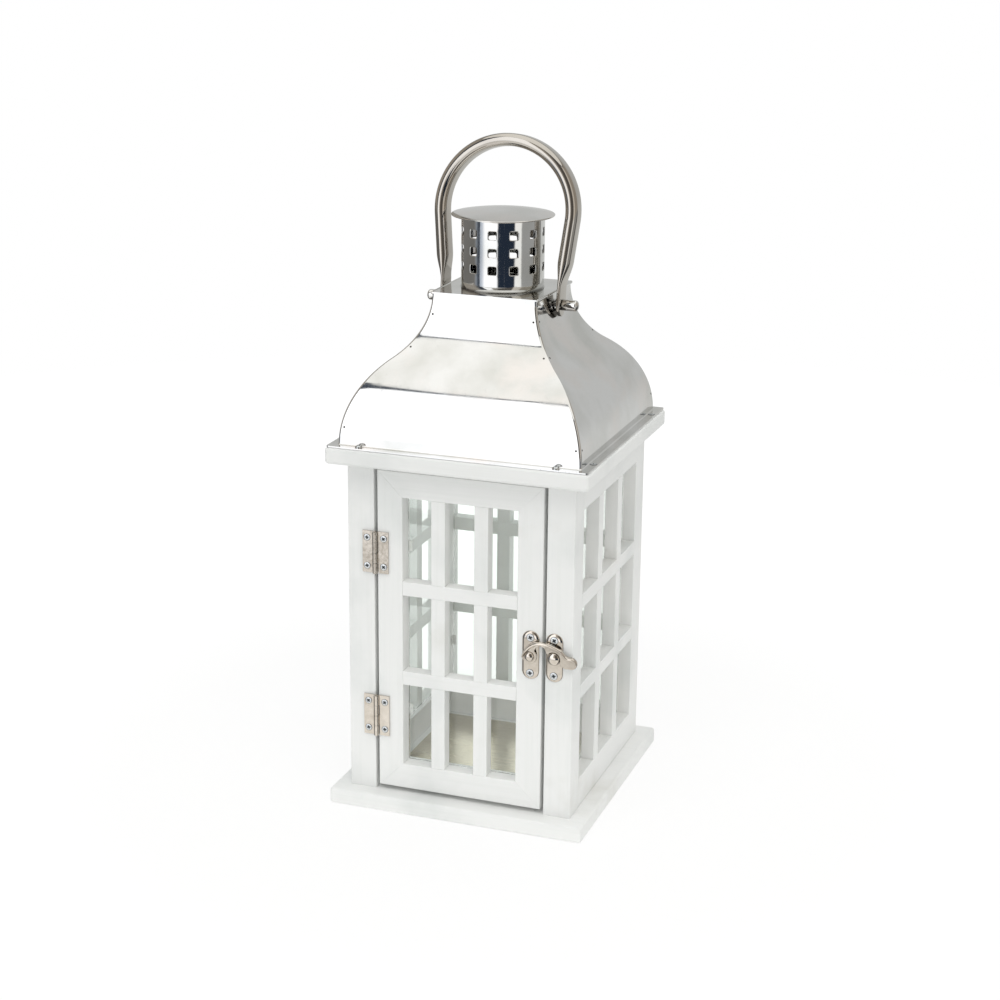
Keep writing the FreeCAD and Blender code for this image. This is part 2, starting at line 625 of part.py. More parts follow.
# One glazed side, drawn facing -Y between two posts, then turned to the left, right and back.
side_uprights, side_crossbars = glazing_bars("side", OPENING_HALF)
side_rail_back = f"-{HALF_BODY} + Sizes.rail_thickness"
SIDE_PIECES = {
    "bottom_rail": block("side_bottom_rail", (f"-{OPENING_HALF}", f"-{HALF_BODY}", BODY_FOOT),
                         (OPENING_HALF, side_rail_back, LIGHTS_FOOT)),
    "top_rail": block("side_top_rail", (f"-{OPENING_HALF}", f"-{HALF_BODY}", LIGHTS_TOP),
                      (OPENING_HALF, side_rail_back, BODY_TOP)),
    "uprights": side_uprights,
    "crossbars": side_crossbars,
    "glass": glass_pane("side_pane", OPENING_HALF),
}
side_clips = glass_clips("side_clip", OPENING_HALF)
SIDE_TURNS = {"left": -90, "right": 90, "back": 180}
clip_copies = []
for side, angle in SIDE_TURNS.items():
    turn = FreeCAD.Rotation(Z_AXIS, angle)
    for piece, master in SIDE_PIECES.items():
        keep(f"{side}_{piece}", grouped(f"{side}_{piece}", [
            copy_at(f"{side}_{piece}_copy", master, ("0", "0", "0"), turn),
        ]))
    clip_copies.append(copy_at(f"{side}_clips_copy", side_clips, ("0", "0", "0"), turn))
keep("side_glass_clips", grouped("side_glass_clips", clip_copies))


def door_member(name, corners, holes):
    """Mitred member of the door's frame, padded back from the door's face, with its screw holes."""
    body = new_body(name + "_blank")
    sketch = new_sketch(body, name + "_outline", "XZ_Plane", HALF_BODY)
    draw_outline(sketch, corners)
    pad(body, sketch, "Sizes.door_thickness", backwards=True)
    keep(name, cut(name, body, holes) if holes else body)


# Door frame: two stiles and two rails, mitred at the corners.
OUTER = {"left": f"-{DOOR_HALF}", "right": DOOR_HALF, "foot": DOOR_FOOT, "top": DOOR_TOP}
INNER = {"left": f"-{DOOR_LIGHT_HALF}", "right": DOOR_LIGHT_HALF, "foot": LIGHTS_FOOT, "top": LIGHTS_TOP}
door_member("door_hinge_stile", [
    (OUTER["left"], OUTER["foot"]), (INNER["left"], INNER["foot"]),
    (INNER["left"], INNER["top"]), (OUTER["left"], OUTER["top"]),
], hole_groups["hinge_door_screws"])
door_member("door_latch_stile", [
    (OUTER["right"], OUTER["foot"]), (OUTER["right"], OUTER["top"]),
    (INNER["right"], INNER["top"]), (INNER["right"], INNER["foot"]),
], hole_groups["latch_door_screws"])
door_member("door_bottom_rail", [
    (OUTER["left"], OUTER["foot"]), (OUTER["right"], OUTER["foot"]),
    (INNER["right"], INNER["foot"]), (INNER["left"], INNER["foot"]),
], [])
door_member("door_top_rail", [
    (OUTER["left"], OUTER["top"]), (INNER["left"], INNER["top"]),
    (INNER["right"], INNER["top"]), (OUTER["right"], OUTER["top"]),
], [])
door_uprights, door_crossbars = glazing_bars("door", DOOR_LIGHT_HALF)
keep("door_uprights", door_uprights)
keep("door_crossbars", door_crossbars)
keep("door_glass", glass_pane("door_pane", DOOR_LIGHT_HALF))
keep("door_glass_clips", glass_clips("door_clip", DOOR_LIGHT_HALF))


def hinge_leaf(name, middle, direction, knuckles, holes):
    """Flat leaf on the wooden face with its share of the knuckles, bored for the pin."""
    foot = f"({middle} - Sizes.hinge_height / 2)"
    inner = f"({HINGE_AXIS_X} + {direction} * (Sizes.knuckle_radius + 2 * Sizes.knuckle_gap))"
    outer = f"({HINGE_AXIS_X} + {direction} * Sizes.hinge_leaf_reach)"
    low_x, high_x = (outer, inner) if direction < 0 else (inner, outer)
    pieces = [block(f"{name}_plate", (low_x, LEAF_FACE, foot),
                    (high_x, f"-{HALF_BODY}", f"{foot} + Sizes.hinge_height"))]
    low_x, high_x = (inner, HINGE_AXIS_X) if direction < 0 else (HINGE_AXIS_X, inner)
    step = f"(Sizes.hinge_height / {KNUCKLES})"
    for number in knuckles:
        start = f"({foot} + {number} * {step} + Sizes.knuckle_gap / 2)"
        length = f"({step} - Sizes.knuckle_gap)"
        pieces.append(rod(f"{name}_knuckle_{number}", "Sizes.knuckle_radius",
                          (HINGE_AXIS_X, HINGE_AXIS_Y, start), length))
        pieces.append(block(f"{name}_wrap_{number}", (low_x, LEAF_FACE, start),
                            (high_x, f"-{HALF_BODY}", f"{start} + {length}")))
    bore = rod(f"{name}_bore", "Sizes.hinge_pin_radius + Sizes.running_clearance",
               (HINGE_AXIS_X, HINGE_AXIS_Y, foot), "Sizes.hinge_height")
    keep(name, cut(name, joined(f"{name}_blank", pieces), [bore] + holes))


# Two small butt hinges, screwed flat on the faces of the left post and the door.
for place_name, middle in HINGE_HEIGHTS.items():
    hinge_leaf(f"{place_name}_hinge_post_leaf", middle, -1, range(0, KNUCKLES, 2),
               hole_groups["hinge_post_screws"])
    hinge_leaf(f"{place_name}_hinge_door_leaf", middle, 1, range(1, KNUCKLES, 2),
               hole_groups["hinge_door_screws"])
    keep(f"{place_name}_hinge_pin", rod(
        f"{place_name}_hinge_pin", "Sizes.hinge_pin_radius",
        (HINGE_AXIS_X, HINGE_AXIS_Y, f"{middle} - Sizes.hinge_height / 2 - Sizes.hinge_pin_overrun"),
        "Sizes.hinge_height + 2 * Sizes.hinge_pin_overrun",
    ))


def latch_plate(name, middle_x):
    """Round-ended plate on the wooden face."""
    body = new_body(name + "_blank")
    sketch = new_sketch(body, name + "_outline", "XZ_Plane", HALF_BODY)
    draw_stadium(sketch, (middle_x, LATCH_Z), "Sizes.latch_plate_width / 2", "Sizes.latch_plate_height / 2")
    pad(body, sketch, "Sizes.latch_plate_thickness")
    return body


# Latch: a plate and a rivet on the door, a plate with a catch stud on the right post.
door_plate = latch_plate("latch_door_plate", LATCH_DOOR_X)
rivet_bore = rod("latch_rivet_bore", "Sizes.rivet_radius + Sizes.running_clearance",
                 (LATCH_DOOR_X, f"-{HALF_BODY}", LATCH_Z), "Sizes.latch_plate_thickness", TO_FRONT)
keep("latch_door_plate", cut("latch_door_plate", door_plate, hole_groups["latch_door_screws"] + [rivet_bore]))
post_plate = latch_plate("latch_post_plate", LATCH_POST_X)
stud = new_sketch(post_plate, "latch_stud_outline", "XZ_Plane", f"{HALF_BODY} + Sizes.latch_plate_thickness")
draw_circle(stud, (LATCH_POST_X, LATCH_Z), "Sizes.stud_radius")
pad(post_plate, stud, "Sizes.stud_height")
keep("latch_post_plate", cut("latch_post_plate", post_plate, hole_groups["latch_post_screws"]))

# Latch arm: an eye on the rivet, an arch over the gap, a hook on the stud and a tab for the finger.
ARM_BACK = f"({HALF_BODY} + Sizes.latch_plate_thickness + Sizes.latch_arm_gap)"
HOOK_RADIUS = "(Sizes.stud_radius + Sizes.stud_clearance)"
ARCH_MIDDLE = f"(({LATCH_DOOR_X} + {LATCH_POST_X}) / 2)"
ARCH_TOP = f"({LATCH_Z} + Sizes.latch_arm_rise)"
EYE_LEFT = f"({LATCH_DOOR_X} - Sizes.latch_eye_radius)"
SHOULDER_X = f"({LATCH_POST_X} + Sizes.latch_shoulder_reach)"
SHOULDER_FALL = "(Sizes.latch_arm_rise - Sizes.latch_shoulder_rise)"
WINDOW_X = f"({LATCH_DOOR_X} + Sizes.latch_window_reach)"
WINDOW_Z = f"({LATCH_Z} + Sizes.latch_window_rise)"
FINGER_X = f"({LATCH_POST_X} + Sizes.latch_finger_reach)"
FINGER_Z = f"({LATCH_Z} - Sizes.latch_finger_drop)"
FINGER_TOP = f"({FINGER_Z} + Sizes.latch_finger_radius)"
FINGER_FOOT = f"({FINGER_Z} - Sizes.latch_finger_radius)"


def level_arc(run, fall):
    """Radius of an arc that starts level and falls this far over this run."""
    return f"(({run}) ^ 2 + ({fall}) ^ 2) / (2 * ({fall}))"


arm = new_body("latch_arm")
arch = new_sketch(arm, "latch_arch", "XZ_Plane", ARM_BACK)
draw_outline(arch, [
    (EYE_LEFT, LATCH_Z),
    (LATCH_DOOR_X, LATCH_Z),
    (f"{WINDOW_X} - Sizes.latch_window_radius", WINDOW_Z),
    (WINDOW_X, f"{WINDOW_Z} + Sizes.latch_window_radius"),
    (f"{WINDOW_X} + Sizes.latch_window_radius", WINDOW_Z),
    (LATCH_POST_X, LATCH_Z),
    (f"{LATCH_POST_X} + Sizes.latch_finger_heel", FINGER_FOOT),
    (FINGER_X, FINGER_FOOT),
    (f"{FINGER_X} + Sizes.latch_finger_radius", FINGER_Z),
    (FINGER_X, FINGER_TOP),
    (f"{LATCH_POST_X} + Sizes.latch_neck_reach", FINGER_TOP),
    (SHOULDER_X, f"{LATCH_Z} + Sizes.latch_shoulder_rise"),
    (ARCH_MIDDLE, ARCH_TOP),
], {
    2: ("Sizes.latch_window_radius", "right"),
    3: ("Sizes.latch_window_radius", "right"),
    7: ("Sizes.latch_finger_radius", "left"),
    8: ("Sizes.latch_finger_radius", "left"),
    10: ("Sizes.latch_neck_radius", "right"),
    11: (level_arc(f"{SHOULDER_X} - {ARCH_MIDDLE}", SHOULDER_FALL), "left"),
    12: (level_arc(f"{ARCH_MIDDLE} - {EYE_LEFT}", "Sizes.latch_arm_rise"), "left"),
})
pad(arm, arch, "Sizes.latch_arm_thickness")
eye = new_sketch(arm, "latch_eye", "XZ_Plane", ARM_BACK)
draw_circle(eye, (LATCH_DOOR_X, LATCH_Z), "Sizes.latch_eye_radius")
pad(arm, eye, "Sizes.latch_arm_thickness")
hook = new_sketch(arm, "latch_hook", "XZ_Plane", ARM_BACK)
HOOK_FOOT = f"({FINGER_FOOT} - {HOOK_RADIUS})"
draw_outline(hook, [
    (f"{LATCH_POST_X} + {HOOK_RADIUS}", HOOK_FOOT),
    (f"{LATCH_POST_X} + {HOOK_RADIUS}", LATCH_Z),
    (LATCH_POST_X, f"{LATCH_Z} + {HOOK_RADIUS}"),
    (f"{LATCH_POST_X} - {HOOK_RADIUS}", LATCH_Z),
    (f"{LATCH_POST_X} - {HOOK_RADIUS}", HOOK_FOOT),
], {1: (HOOK_RADIUS, "left"), 2: (HOOK_RADIUS, "left")})
pocket(arm, hook, backwards=True)
arm_bore = new_sketch(arm, "latch_arm_bore", "XZ_Plane", ARM_BACK)
draw_circle(arm_bore, (LATCH_DOOR_X, LATCH_Z), "Sizes.rivet_radius + Sizes.running_clearance")
pocket(arm, arm_bore, backwards=True)
keep("latch_arm", arm)

# Rivet that the arm turns on: shank through the door's plate and a low domed head.
rivet = new_body("latch_rivet_master")
rivet_section = new_sketch(rivet, "latch_rivet_section", "XZ_Plane")
RIVET_SHANK = ("(Sizes.latch_plate_thickness + Sizes.latch_arm_gap + Sizes.latch_arm_thickness"
               " + Sizes.rivet_play)")
RIVET_DOME = "((Sizes.rivet_head_radius ^ 2 + Sizes.rivet_head_height ^ 2) / (2 * Sizes.rivet_head_height))"
draw_outline(rivet_section, [
    ("0", "0"),
    ("Sizes.rivet_radius", "0"),
    ("Sizes.rivet_radius", RIVET_SHANK),
    ("Sizes.rivet_head_radius", RIVET_SHANK),
    ("0", f"{RIVET_SHANK} + Sizes.rivet_head_height"),
], {3: (RIVET_DOME, "left")})
turned(rivet, rivet_section)
keep("latch_rivet", grouped("latch_rivet", [
    copy_at("latch_rivet_copy", rivet, (LATCH_DOOR_X, f"-{HALF_BODY}", LATCH_Z), TO_FRONT),
]))

# Roof side: a sheet in an S curve, hollow above and round below, mitred at the hips.
NECK_HALF = "(Sizes.neck_width / 2)"
CURVE_FOOT = f"({ROOF_FOOT} + Sizes.sheet_thickness)"
CURVE_RUN = f"({EAVES_HALF} - {NECK_HALF})"
CURVE_RISE = f"({ROOF_TOP} - {CURVE_FOOT})"
EAVES_RADIUS = f"(({CURVE_RUN} ^ 2 + {CURVE_RISE} ^ 2) / (2 * {CURVE_RUN}) - Sizes.neck_radius)"
CURVE_TURN = f"(2 * atan({CURVE_RUN} / {CURVE_RISE}))"
INNER_NECK_RADIUS = "(Sizes.neck_radius + Sizes.sheet_thickness)"


def hip_point(radius):
    """Where the two curves of the roof meet, on a sheet face of the given radius about the neck's centre."""
    across = f"({NECK_HALF} + Sizes.neck_radius - {radius} * cos({CURVE_TURN}))"
    return f"-{across}", f"{ROOF_TOP} - {radius} * sin({CURVE_TURN})"


panel = new_body("roof_panel")
profile = new_sketch(panel, "roof_profile", "YZ_Plane")
draw_outline(profile, [
    (f"-{EAVES_HALF} - Sizes.flange_width", ROOF_FOOT),
    (f"-{EAVES_HALF} + Sizes.sheet_thickness", ROOF_FOOT),
    (f"-{EAVES_HALF} + Sizes.sheet_thickness", CURVE_FOOT),
    hip_point(INNER_NECK_RADIUS),
    (f"-{NECK_HALF} + Sizes.sheet_thickness", ROOF_TOP),
    (f"-{NECK_HALF}", ROOF_TOP),
    hip_point("Sizes.neck_radius"),
    (f"-{EAVES_HALF}", CURVE_FOOT),
    (f"-{EAVES_HALF} - Sizes.flange_width", CURVE_FOOT),
], {
    2: (f"{EAVES_RADIUS} - Sizes.sheet_thickness", "right"),
    3: (INNER_NECK_RADIUS, "left"),
    5: ("Sizes.neck_radius", "right"),
    6: (EAVES_RADIUS, "left"),
})
FLANGE_REACH = f"({EAVES_HALF} + Sizes.flange_width)"
pad(panel, profile, f"2 * {FLANGE_REACH}", both_ways=True)
mitres = new_sketch(panel, "roof_mitres", "XY_Plane")
MITRE_START = f"({NECK_HALF} / 2)"
MITRE_END = f"(2 * {FLANGE_REACH})"
for side in (-1, 1):
    draw_outline(mitres, [
        (f"{side} * {MITRE_START}", f"-{MITRE_START}"),
        (f"{side} * {MITRE_END}", f"-{MITRE_END}"),
        (f"{side} * {MITRE_END}", f"-{MITRE_START}"),
    ])
pocket(panel, mitres, backwards=True)


def neck_reach(drop):
    """How far the roof's outer face stands from the middle at a drop below its top."""
    return f"({NECK_HALF} + Sizes.neck_radius - sqrt(Sizes.neck_radius ^ 2 - ({drop}) ^ 2))"


# Handle bolts through the left and right roof sides, each with a spacer outside and a domed nut.
SPACER_START = f"({neck_reach('Sizes.pivot_drop + Sizes.spacer_radius')} + Sizes.bolt_seat_gap)"
LUG_START = f"({neck_reach('Sizes.pivot_drop + Sizes.lug_width / 2')} + Sizes.lug_roof_gap)"
LUG_END = f"({LUG_START} + Sizes.lug_thickness)"
SPACER_END = f"({LUG_START} - Sizes.lug_play)"
NUT_START = f"({LUG_END} + Sizes.lug_play)"
BOLT_SEAT = f"({NECK_HALF} - Sizes.sheet_thickness - Sizes.bolt_seat_gap)"
BOLT_END = f"({NUT_START} + Sizes.nut_bore_depth - Sizes.screw_end_room)"
bolt = joined("handle_bolt", [
    rod("handle_bolt_head", "Sizes.bolt_head_radius", (f"{BOLT_SEAT} - Sizes.bolt_head_height", "0", "0"),
        "Sizes.bolt_head_height", TO_RIGHT),
    rod("handle_bolt_shank", "Sizes.handle_bolt_radius",
        (f"{BOLT_SEAT} - Sizes.bolt_head_height / 2", "0", "0"),
        f"{BOLT_END} - {BOLT_SEAT} + Sizes.bolt_head_height / 2", TO_RIGHT),
])
BOLT_HOLE = "(Sizes.handle_bolt_radius + Sizes.running_clearance)"
bolt_hole = rod("handle_bolt_hole", BOLT_HOLE, (f"{BOLT_SEAT} - Sizes.sheet_thickness", "0", "0"),
                f"{BOLT_END} - {BOLT_SEAT} + 2 * Sizes.sheet_thickness", TO_RIGHT)
spacer = cut("handle_spacer", rod(
    "handle_spacer_blank", "Sizes.spacer_radius", (SPACER_START, "0", "0"),
    f"{SPACER_END} - {SPACER_START}", TO_RIGHT,
), [bolt_hole])
nut = new_body("handle_nut")
nut_section = new_sketch(nut, "handle_nut_section", "XZ_Plane")
NUT_DOME = "((Sizes.nut_radius ^ 2 + Sizes.nut_dome ^ 2) / (2 * Sizes.nut_dome))"
draw_outline(nut_section, [
    (BOLT_HOLE, "0"),
    ("Sizes.nut_radius", "0"),
    ("Sizes.nut_radius", "Sizes.nut_length"),
    ("0", "Sizes.nut_length + Sizes.nut_dome"),
    ("0", "Sizes.nut_bore_depth"),
    (BOLT_HOLE, "Sizes.nut_bore_depth"),
], {2: (NUT_DOME, "left")})
turned(nut, nut_section)
HALF_TURN = FreeCAD.Rotation(Z_AXIS, 180)
PIVOT = ("0", "0", PIVOT_HEIGHT)
keep("handle_bolts", grouped("handle_bolts", [
    copy_at("handle_bolt_right", bolt, PIVOT), copy_at("handle_bolt_left", bolt, PIVOT, HALF_TURN),
]))
keep("handle_spacers", grouped("handle_spacers", [
    copy_at("handle_spacer_right", spacer, PIVOT), copy_at("handle_spacer_left", spacer, PIVOT, HALF_TURN),
]))
keep("handle_nuts", grouped("handle_nuts", [
    copy_at("handle_nut_right", nut, (NUT_START, "0", PIVOT_HEIGHT), TO_RIGHT),
    copy_at("handle_nut_left", nut, (f"-{NUT_START}", "0", PIVOT_HEIGHT), TO_RIGHT.inverted()),
]))
pivot_holes = [
    copy_at("handle_bolt_hole_right", bolt_hole, PIVOT),
    copy_at("handle_bolt_hole_left", bolt_hole, PIVOT, HALF_TURN),
]
for side, angle in {"front": 0, "right": 90, "back": 180, "left": -90}.items():
    sheet = copy_at(f"roof_{side}_sheet", panel, ("0", "0", "0"), FreeCAD.Rotation(Z_AXIS, angle))
    holes = hole_groups["roof_screws"] + (pivot_holes if side in ("left", "right") else [])
    keep(f"roof_{side}_panel", cut(f"roof_{side}_panel", sheet, holes))

# Square top plate of the roof, open under the chimney.
top_plate = new_body("roof_top_plate")
plate_outline = new_sketch(top_plate, "roof_plate_outline", "XY_Plane", ROOF_TOP)
CHIMNEY_BORE = "(Sizes.chimney_radius - Sizes.sheet_thickness)"
draw_rectangle(plate_outline, (f"-{NECK_HALF}", f"-{NECK_HALF}"), (NECK_HALF, NECK_HALF))
draw_circle(plate_outline, ("0", "0"), CHIMNEY_BORE)
pad(top_plate, plate_outline, "Sizes.sheet_thickness")
keep("roof_top_plate", top_plate)

# Chimney: a thin tube pierced by rows of square holes all round.
chimney = new_body("chimney_tube")
ring = new_sketch(chimney, "chimney_ring", "XY_Plane", PLATE_TOP)
draw_circle(ring, ("0", "0"), "Sizes.chimney_radius")
draw_circle(ring, ("0", "0"), CHIMNEY_BORE)
pad(chimney, ring, "Sizes.chimney_height")
piercing = new_sketch(chimney, "chimney_piercing", "XZ_Plane")
column_turn = FreeCAD.Rotation(Y_AXIS, amount_of("Sizes.chimney_hole_turn"))
piercing.AttachmentOffset = FreeCAD.Placement(VECTOR(), column_turn)
for tier in range(CHIMNEY_ROWS):
    hole_z = f"{PLATE_TOP} + Sizes.chimney_hole_start + {tier} * Sizes.chimney_hole_pitch"
    draw_rounded(piercing, ("0", hole_z), "Sizes.chimney_hole_size / 2", "Sizes.chimney_hole_size / 2",
                 "Sizes.chimney_hole_round")
first_column = pocket(chimney, piercing, "2 * Sizes.chimney_radius", backwards=True)
columns = chimney.newObject("PartDesign::PolarPattern", "chimney_columns")
columns.Originals = [first_column]
columns.Axis = (origin_feature(chimney, "Z_Axis"), [""])
columns.Angle = 360
columns.Occurrences = CHIMNEY_COLUMNS
chimney.Tip = columns
keep("chimney_tube", chimney)

# Cap: a shallow dome of sheet with a short straight rim, seated on the chimney's upper edge.
cap = new_body("chimney_cap")
cap_section = new_sketch(cap, "chimney_cap_section", "XZ_Plane")
CAP_SPHERE = "((Sizes.cap_radius ^ 2 + Sizes.cap_rise ^ 2) / (2 * Sizes.cap_rise))"
CAP_INNER = f"({CAP_SPHERE} - Sizes.sheet_thickness)"
CAP_CENTRE = f"({CHIMNEY_TOP} + Sizes.cap_seat_gap - sqrt({CAP_INNER} ^ 2 - Sizes.chimney_radius ^ 2))"
CAP_RIM = f"({CAP_CENTRE} + {CAP_SPHERE} - Sizes.cap_rise)"
CAP_LIP = "(Sizes.cap_radius - Sizes.sheet_thickness)"
draw_outline(cap_section, [
    ("0", f"{CAP_CENTRE} + {CAP_INNER}"),
    (CAP_LIP, f"{CAP_CENTRE} + sqrt({CAP_INNER} ^ 2 - {CAP_LIP} ^ 2)"),
    (CAP_LIP, f"{CAP_RIM} - Sizes.sheet_thickness"),
    ("Sizes.cap_radius", f"{CAP_RIM} - Sizes.sheet_thickness"),
    ("Sizes.cap_radius", CAP_RIM),
    ("0", f"{CAP_CENTRE} + {CAP_SPHERE}"),
], {0: (CAP_INNER, "right"), 4: (CAP_SPHERE, "left")})
turned(cap, cap_section)
keep("chimney_cap", cap)

# Handle: one half of the oval tube with its end pressed flat and drilled, mirrored to the other side.
handle = new_body("handle")
ARCH_CENTRE = f"({PIVOT_HEIGHT} + Sizes.arch_rise)"
LUG_MIDDLE = f"({LUG_START} + Sizes.lug_thickness / 2)"
LUG_TOP = f"({PIVOT_HEIGHT} + Sizes.lug_rise)"
LEG_DROP = f"({ARCH_CENTRE} - {LUG_TOP})"
LEAN = (f"(atan2({LEG_DROP}; {LUG_MIDDLE})"
        f" - acos(Sizes.arch_radius / sqrt({LUG_MIDDLE} ^ 2 + {LEG_DROP} ^ 2)))")
PRESS_TOP = f"({LUG_TOP} + Sizes.press_length)"
PRESS_MIDDLE = f"({LUG_MIDDLE} + Sizes.press_length * tan({LEAN}))"
TUBE_HALF_WIDTH = "(Sizes.handle_tube_width / 2)"
TUBE_HALF_DEPTH = "(Sizes.handle_tube_depth / 2)"
route = new_sketch(handle, "handle_route", "XZ_Plane")
draw_outline(route, [
    ("0", f"{ARCH_CENTRE} + Sizes.arch_radius"),
    (f"Sizes.arch_radius * cos({LEAN})", f"{ARCH_CENTRE} - Sizes.arch_radius * sin({LEAN})"),
    (PRESS_MIDDLE, PRESS_TOP),
], {0: ("Sizes.arch_radius", "right")}, closed=False)


def draw_oval(sketch, centre, half_depth):
    """Flat-sided oval of the tube: its width runs front to back, which is up in the sketch for the ends."""
    draw_stadium(sketch, centre, half_depth, TUBE_HALF_WIDTH)


oval = new_sketch(handle, "handle_oval", "YZ_Plane")
oval.AttachmentOffset = FreeCAD.Placement(VECTOR(), FreeCAD.Rotation(Z_AXIS, 90))
draw_oval(oval, (f"{ARCH_CENTRE} + Sizes.arch_radius", "0"), TUBE_HALF_DEPTH)
tube = handle.newObject("PartDesign::AdditivePipe", "handle_tube")
tube.Profile = oval
tube.Spine = (route, [])
flat_end = new_sketch(handle, "handle_flat_end", "XY_Plane", LUG_TOP)
draw_stadium(flat_end, (LUG_MIDDLE, "0"), "Sizes.lug_thickness / 2", "Sizes.lug_width / 2")
tube_end = new_sketch(handle, "handle_tube_end", "XY_Plane")
tube_end.AttachmentOffset = FreeCAD.Placement(VECTOR(), FreeCAD.Rotation(Y_AXIS, amount_of(LEAN)))
bind(tube_end, {
    "AttachmentOffset.Base.x": PRESS_MIDDLE,
    "AttachmentOffset.Base.z": PRESS_TOP,
    "AttachmentOffset.Rotation.Angle": LEAN,
})
draw_oval(tube_end, ("0", "0"), TUBE_HALF_DEPTH)
pressed = handle.newObject("PartDesign::AdditiveLoft", "handle_pressed_end")
pressed.Profile = flat_end
pressed.Sections = [tube_end]
LUG_HALF = "(Sizes.lug_width / 2)"
LUG_TRIM = "(2 * Sizes.lug_thickness)"
lug_plate = pad(handle, flat_end, f"Sizes.lug_rise + {LUG_HALF} + {LUG_TRIM} / 2", backwards=True)
lug_foot = new_sketch(handle, "handle_lug_foot", "YZ_Plane")
TRIM_ACROSS = f"({LUG_HALF} + {LUG_TRIM})"
TRIM_FOOT = f"{PIVOT_HEIGHT} - {LUG_HALF} - {LUG_TRIM}"
draw_outline(lug_foot, [
    (f"-{LUG_HALF}", PIVOT_HEIGHT),
    ("0", f"{PIVOT_HEIGHT} - {LUG_HALF}"),
    (LUG_HALF, PIVOT_HEIGHT),
    (TRIM_ACROSS, PIVOT_HEIGHT),
    (TRIM_ACROSS, TRIM_FOOT),
    (f"-{TRIM_ACROSS}", TRIM_FOOT),
    (f"-{TRIM_ACROSS}", PIVOT_HEIGHT),
], {0: (LUG_HALF, "left"), 1: (LUG_HALF, "left")})
lug_round = pocket(handle, lug_foot, backwards=True)
lug_eye = new_sketch(handle, "handle_lug_eye", "YZ_Plane")
draw_circle(lug_eye, ("0", PIVOT_HEIGHT), BOLT_HOLE)
lug_bore = pocket(handle, lug_eye, backwards=True)
other_half = handle.newObject("PartDesign::Mirrored", "handle_other_half")
other_half.Originals = [tube, pressed, lug_plate, lug_round, lug_bore]
other_half.MirrorPlane = (origin_feature(handle, "YZ_Plane"), [""])
handle.Tip = other_half
to_the_back = FreeCAD.Rotation(VECTOR(-1, 0, 0), amount_of("Sizes.handle_rest_lean"))
handle.Placement = FreeCAD.Placement(VECTOR(), to_the_back)
bind(handle, {
    "Placement.Base.y": f"-{PIVOT_HEIGHT} * sin(Sizes.handle_rest_lean)",
    "Placement.Base.z": f"{PIVOT_HEIGHT} * (1 - cos(Sizes.handle_rest_lean))",
    "Placement.Rotation.Angle": "Sizes.handle_rest_lean",
})
keep("handle", handle)

DOCUMENT.recompute()
for item in DOCUMENT.Objects:
    if "Invalid" in item.State or "Error" in item.State:
        raise RuntimeError(f"{item.Name} failed: {item.State}")
for name, item in NODES.items():
    if item.Shape.isNull() or not item.Shape.isValid() or not item.Shape.Solids:
        raise RuntimeError(f"{name} has no valid solid")

os.makedirs("parts", exist_ok=True)
for name, item in NODES.items():
    item.Shape.exportStep(os.path.join("parts", f"{item.Label}.step"))
print(f"{len(NODES)} pieces written")
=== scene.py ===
"""Hurricane candle lantern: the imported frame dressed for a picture, from the base board up to the handle."""

import bmesh
import bpy
import numpy as np
from mathutils import Matrix, Vector


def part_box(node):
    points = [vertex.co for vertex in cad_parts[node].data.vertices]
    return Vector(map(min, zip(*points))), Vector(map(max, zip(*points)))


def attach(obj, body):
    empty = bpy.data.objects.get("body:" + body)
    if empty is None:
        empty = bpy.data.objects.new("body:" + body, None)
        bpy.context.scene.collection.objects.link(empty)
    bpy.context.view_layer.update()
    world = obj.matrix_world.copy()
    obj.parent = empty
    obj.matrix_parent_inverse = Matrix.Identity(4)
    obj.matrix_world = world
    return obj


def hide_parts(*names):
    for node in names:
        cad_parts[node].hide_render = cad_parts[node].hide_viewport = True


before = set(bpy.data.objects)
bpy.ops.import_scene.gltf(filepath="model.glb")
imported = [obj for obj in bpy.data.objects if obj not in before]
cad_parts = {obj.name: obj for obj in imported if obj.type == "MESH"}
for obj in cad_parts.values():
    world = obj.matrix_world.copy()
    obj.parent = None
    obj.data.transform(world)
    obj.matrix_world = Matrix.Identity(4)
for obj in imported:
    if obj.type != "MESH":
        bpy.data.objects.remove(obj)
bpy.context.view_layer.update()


# Base board: one square of planed timber, primed and painted satin white before assembly.
# Its edges are eased all round; the four posts stand on it and are screwed from below.
MM = 0.001
SEAM = 0.001
BOARD_EASE = 1.8
EASE_STEPS = 4
END_TURN = np.radians(np.linspace(15, 90, EASE_STEPS + 1))
FOLD_ANGLE = np.radians(50)
PAINT_SHADE, PAINT_LIGHT = (0.76, 0.775, 0.765, 1), (0.845, 0.85, 0.84, 1)
PAINT_CLOUDS, CLOUD_LIMITS = (17, 5), (0.34, 0.5)
GRAIN_SHADE, GRAIN_LIGHT = (0.975, 0.978, 0.975, 1), (1, 1, 1, 1)
ACROSS_GRAIN, ALONG_GRAIN = 420, 14
GRAIN_DETAIL, GRAIN_LIMITS = 4, (0.36, 0.52)
GRAIN_STRENGTH, GRAIN_DEPTH = 0.4, 0.12
SMUDGE, SMUDGE_MOST = (0.66, 0.65, 0.605, 1), 0.55
SMUDGE_CLOUDS, SMUDGE_LIMITS = (19, 5), (0.63, 0.78)
PAINT_ROUGHNESS = (0.4, 0.58)


def node_box(node):
    """Lowest and highest corners of a CAD node, in millimetres."""
    return np.array([list(corner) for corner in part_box(node)]) / MM


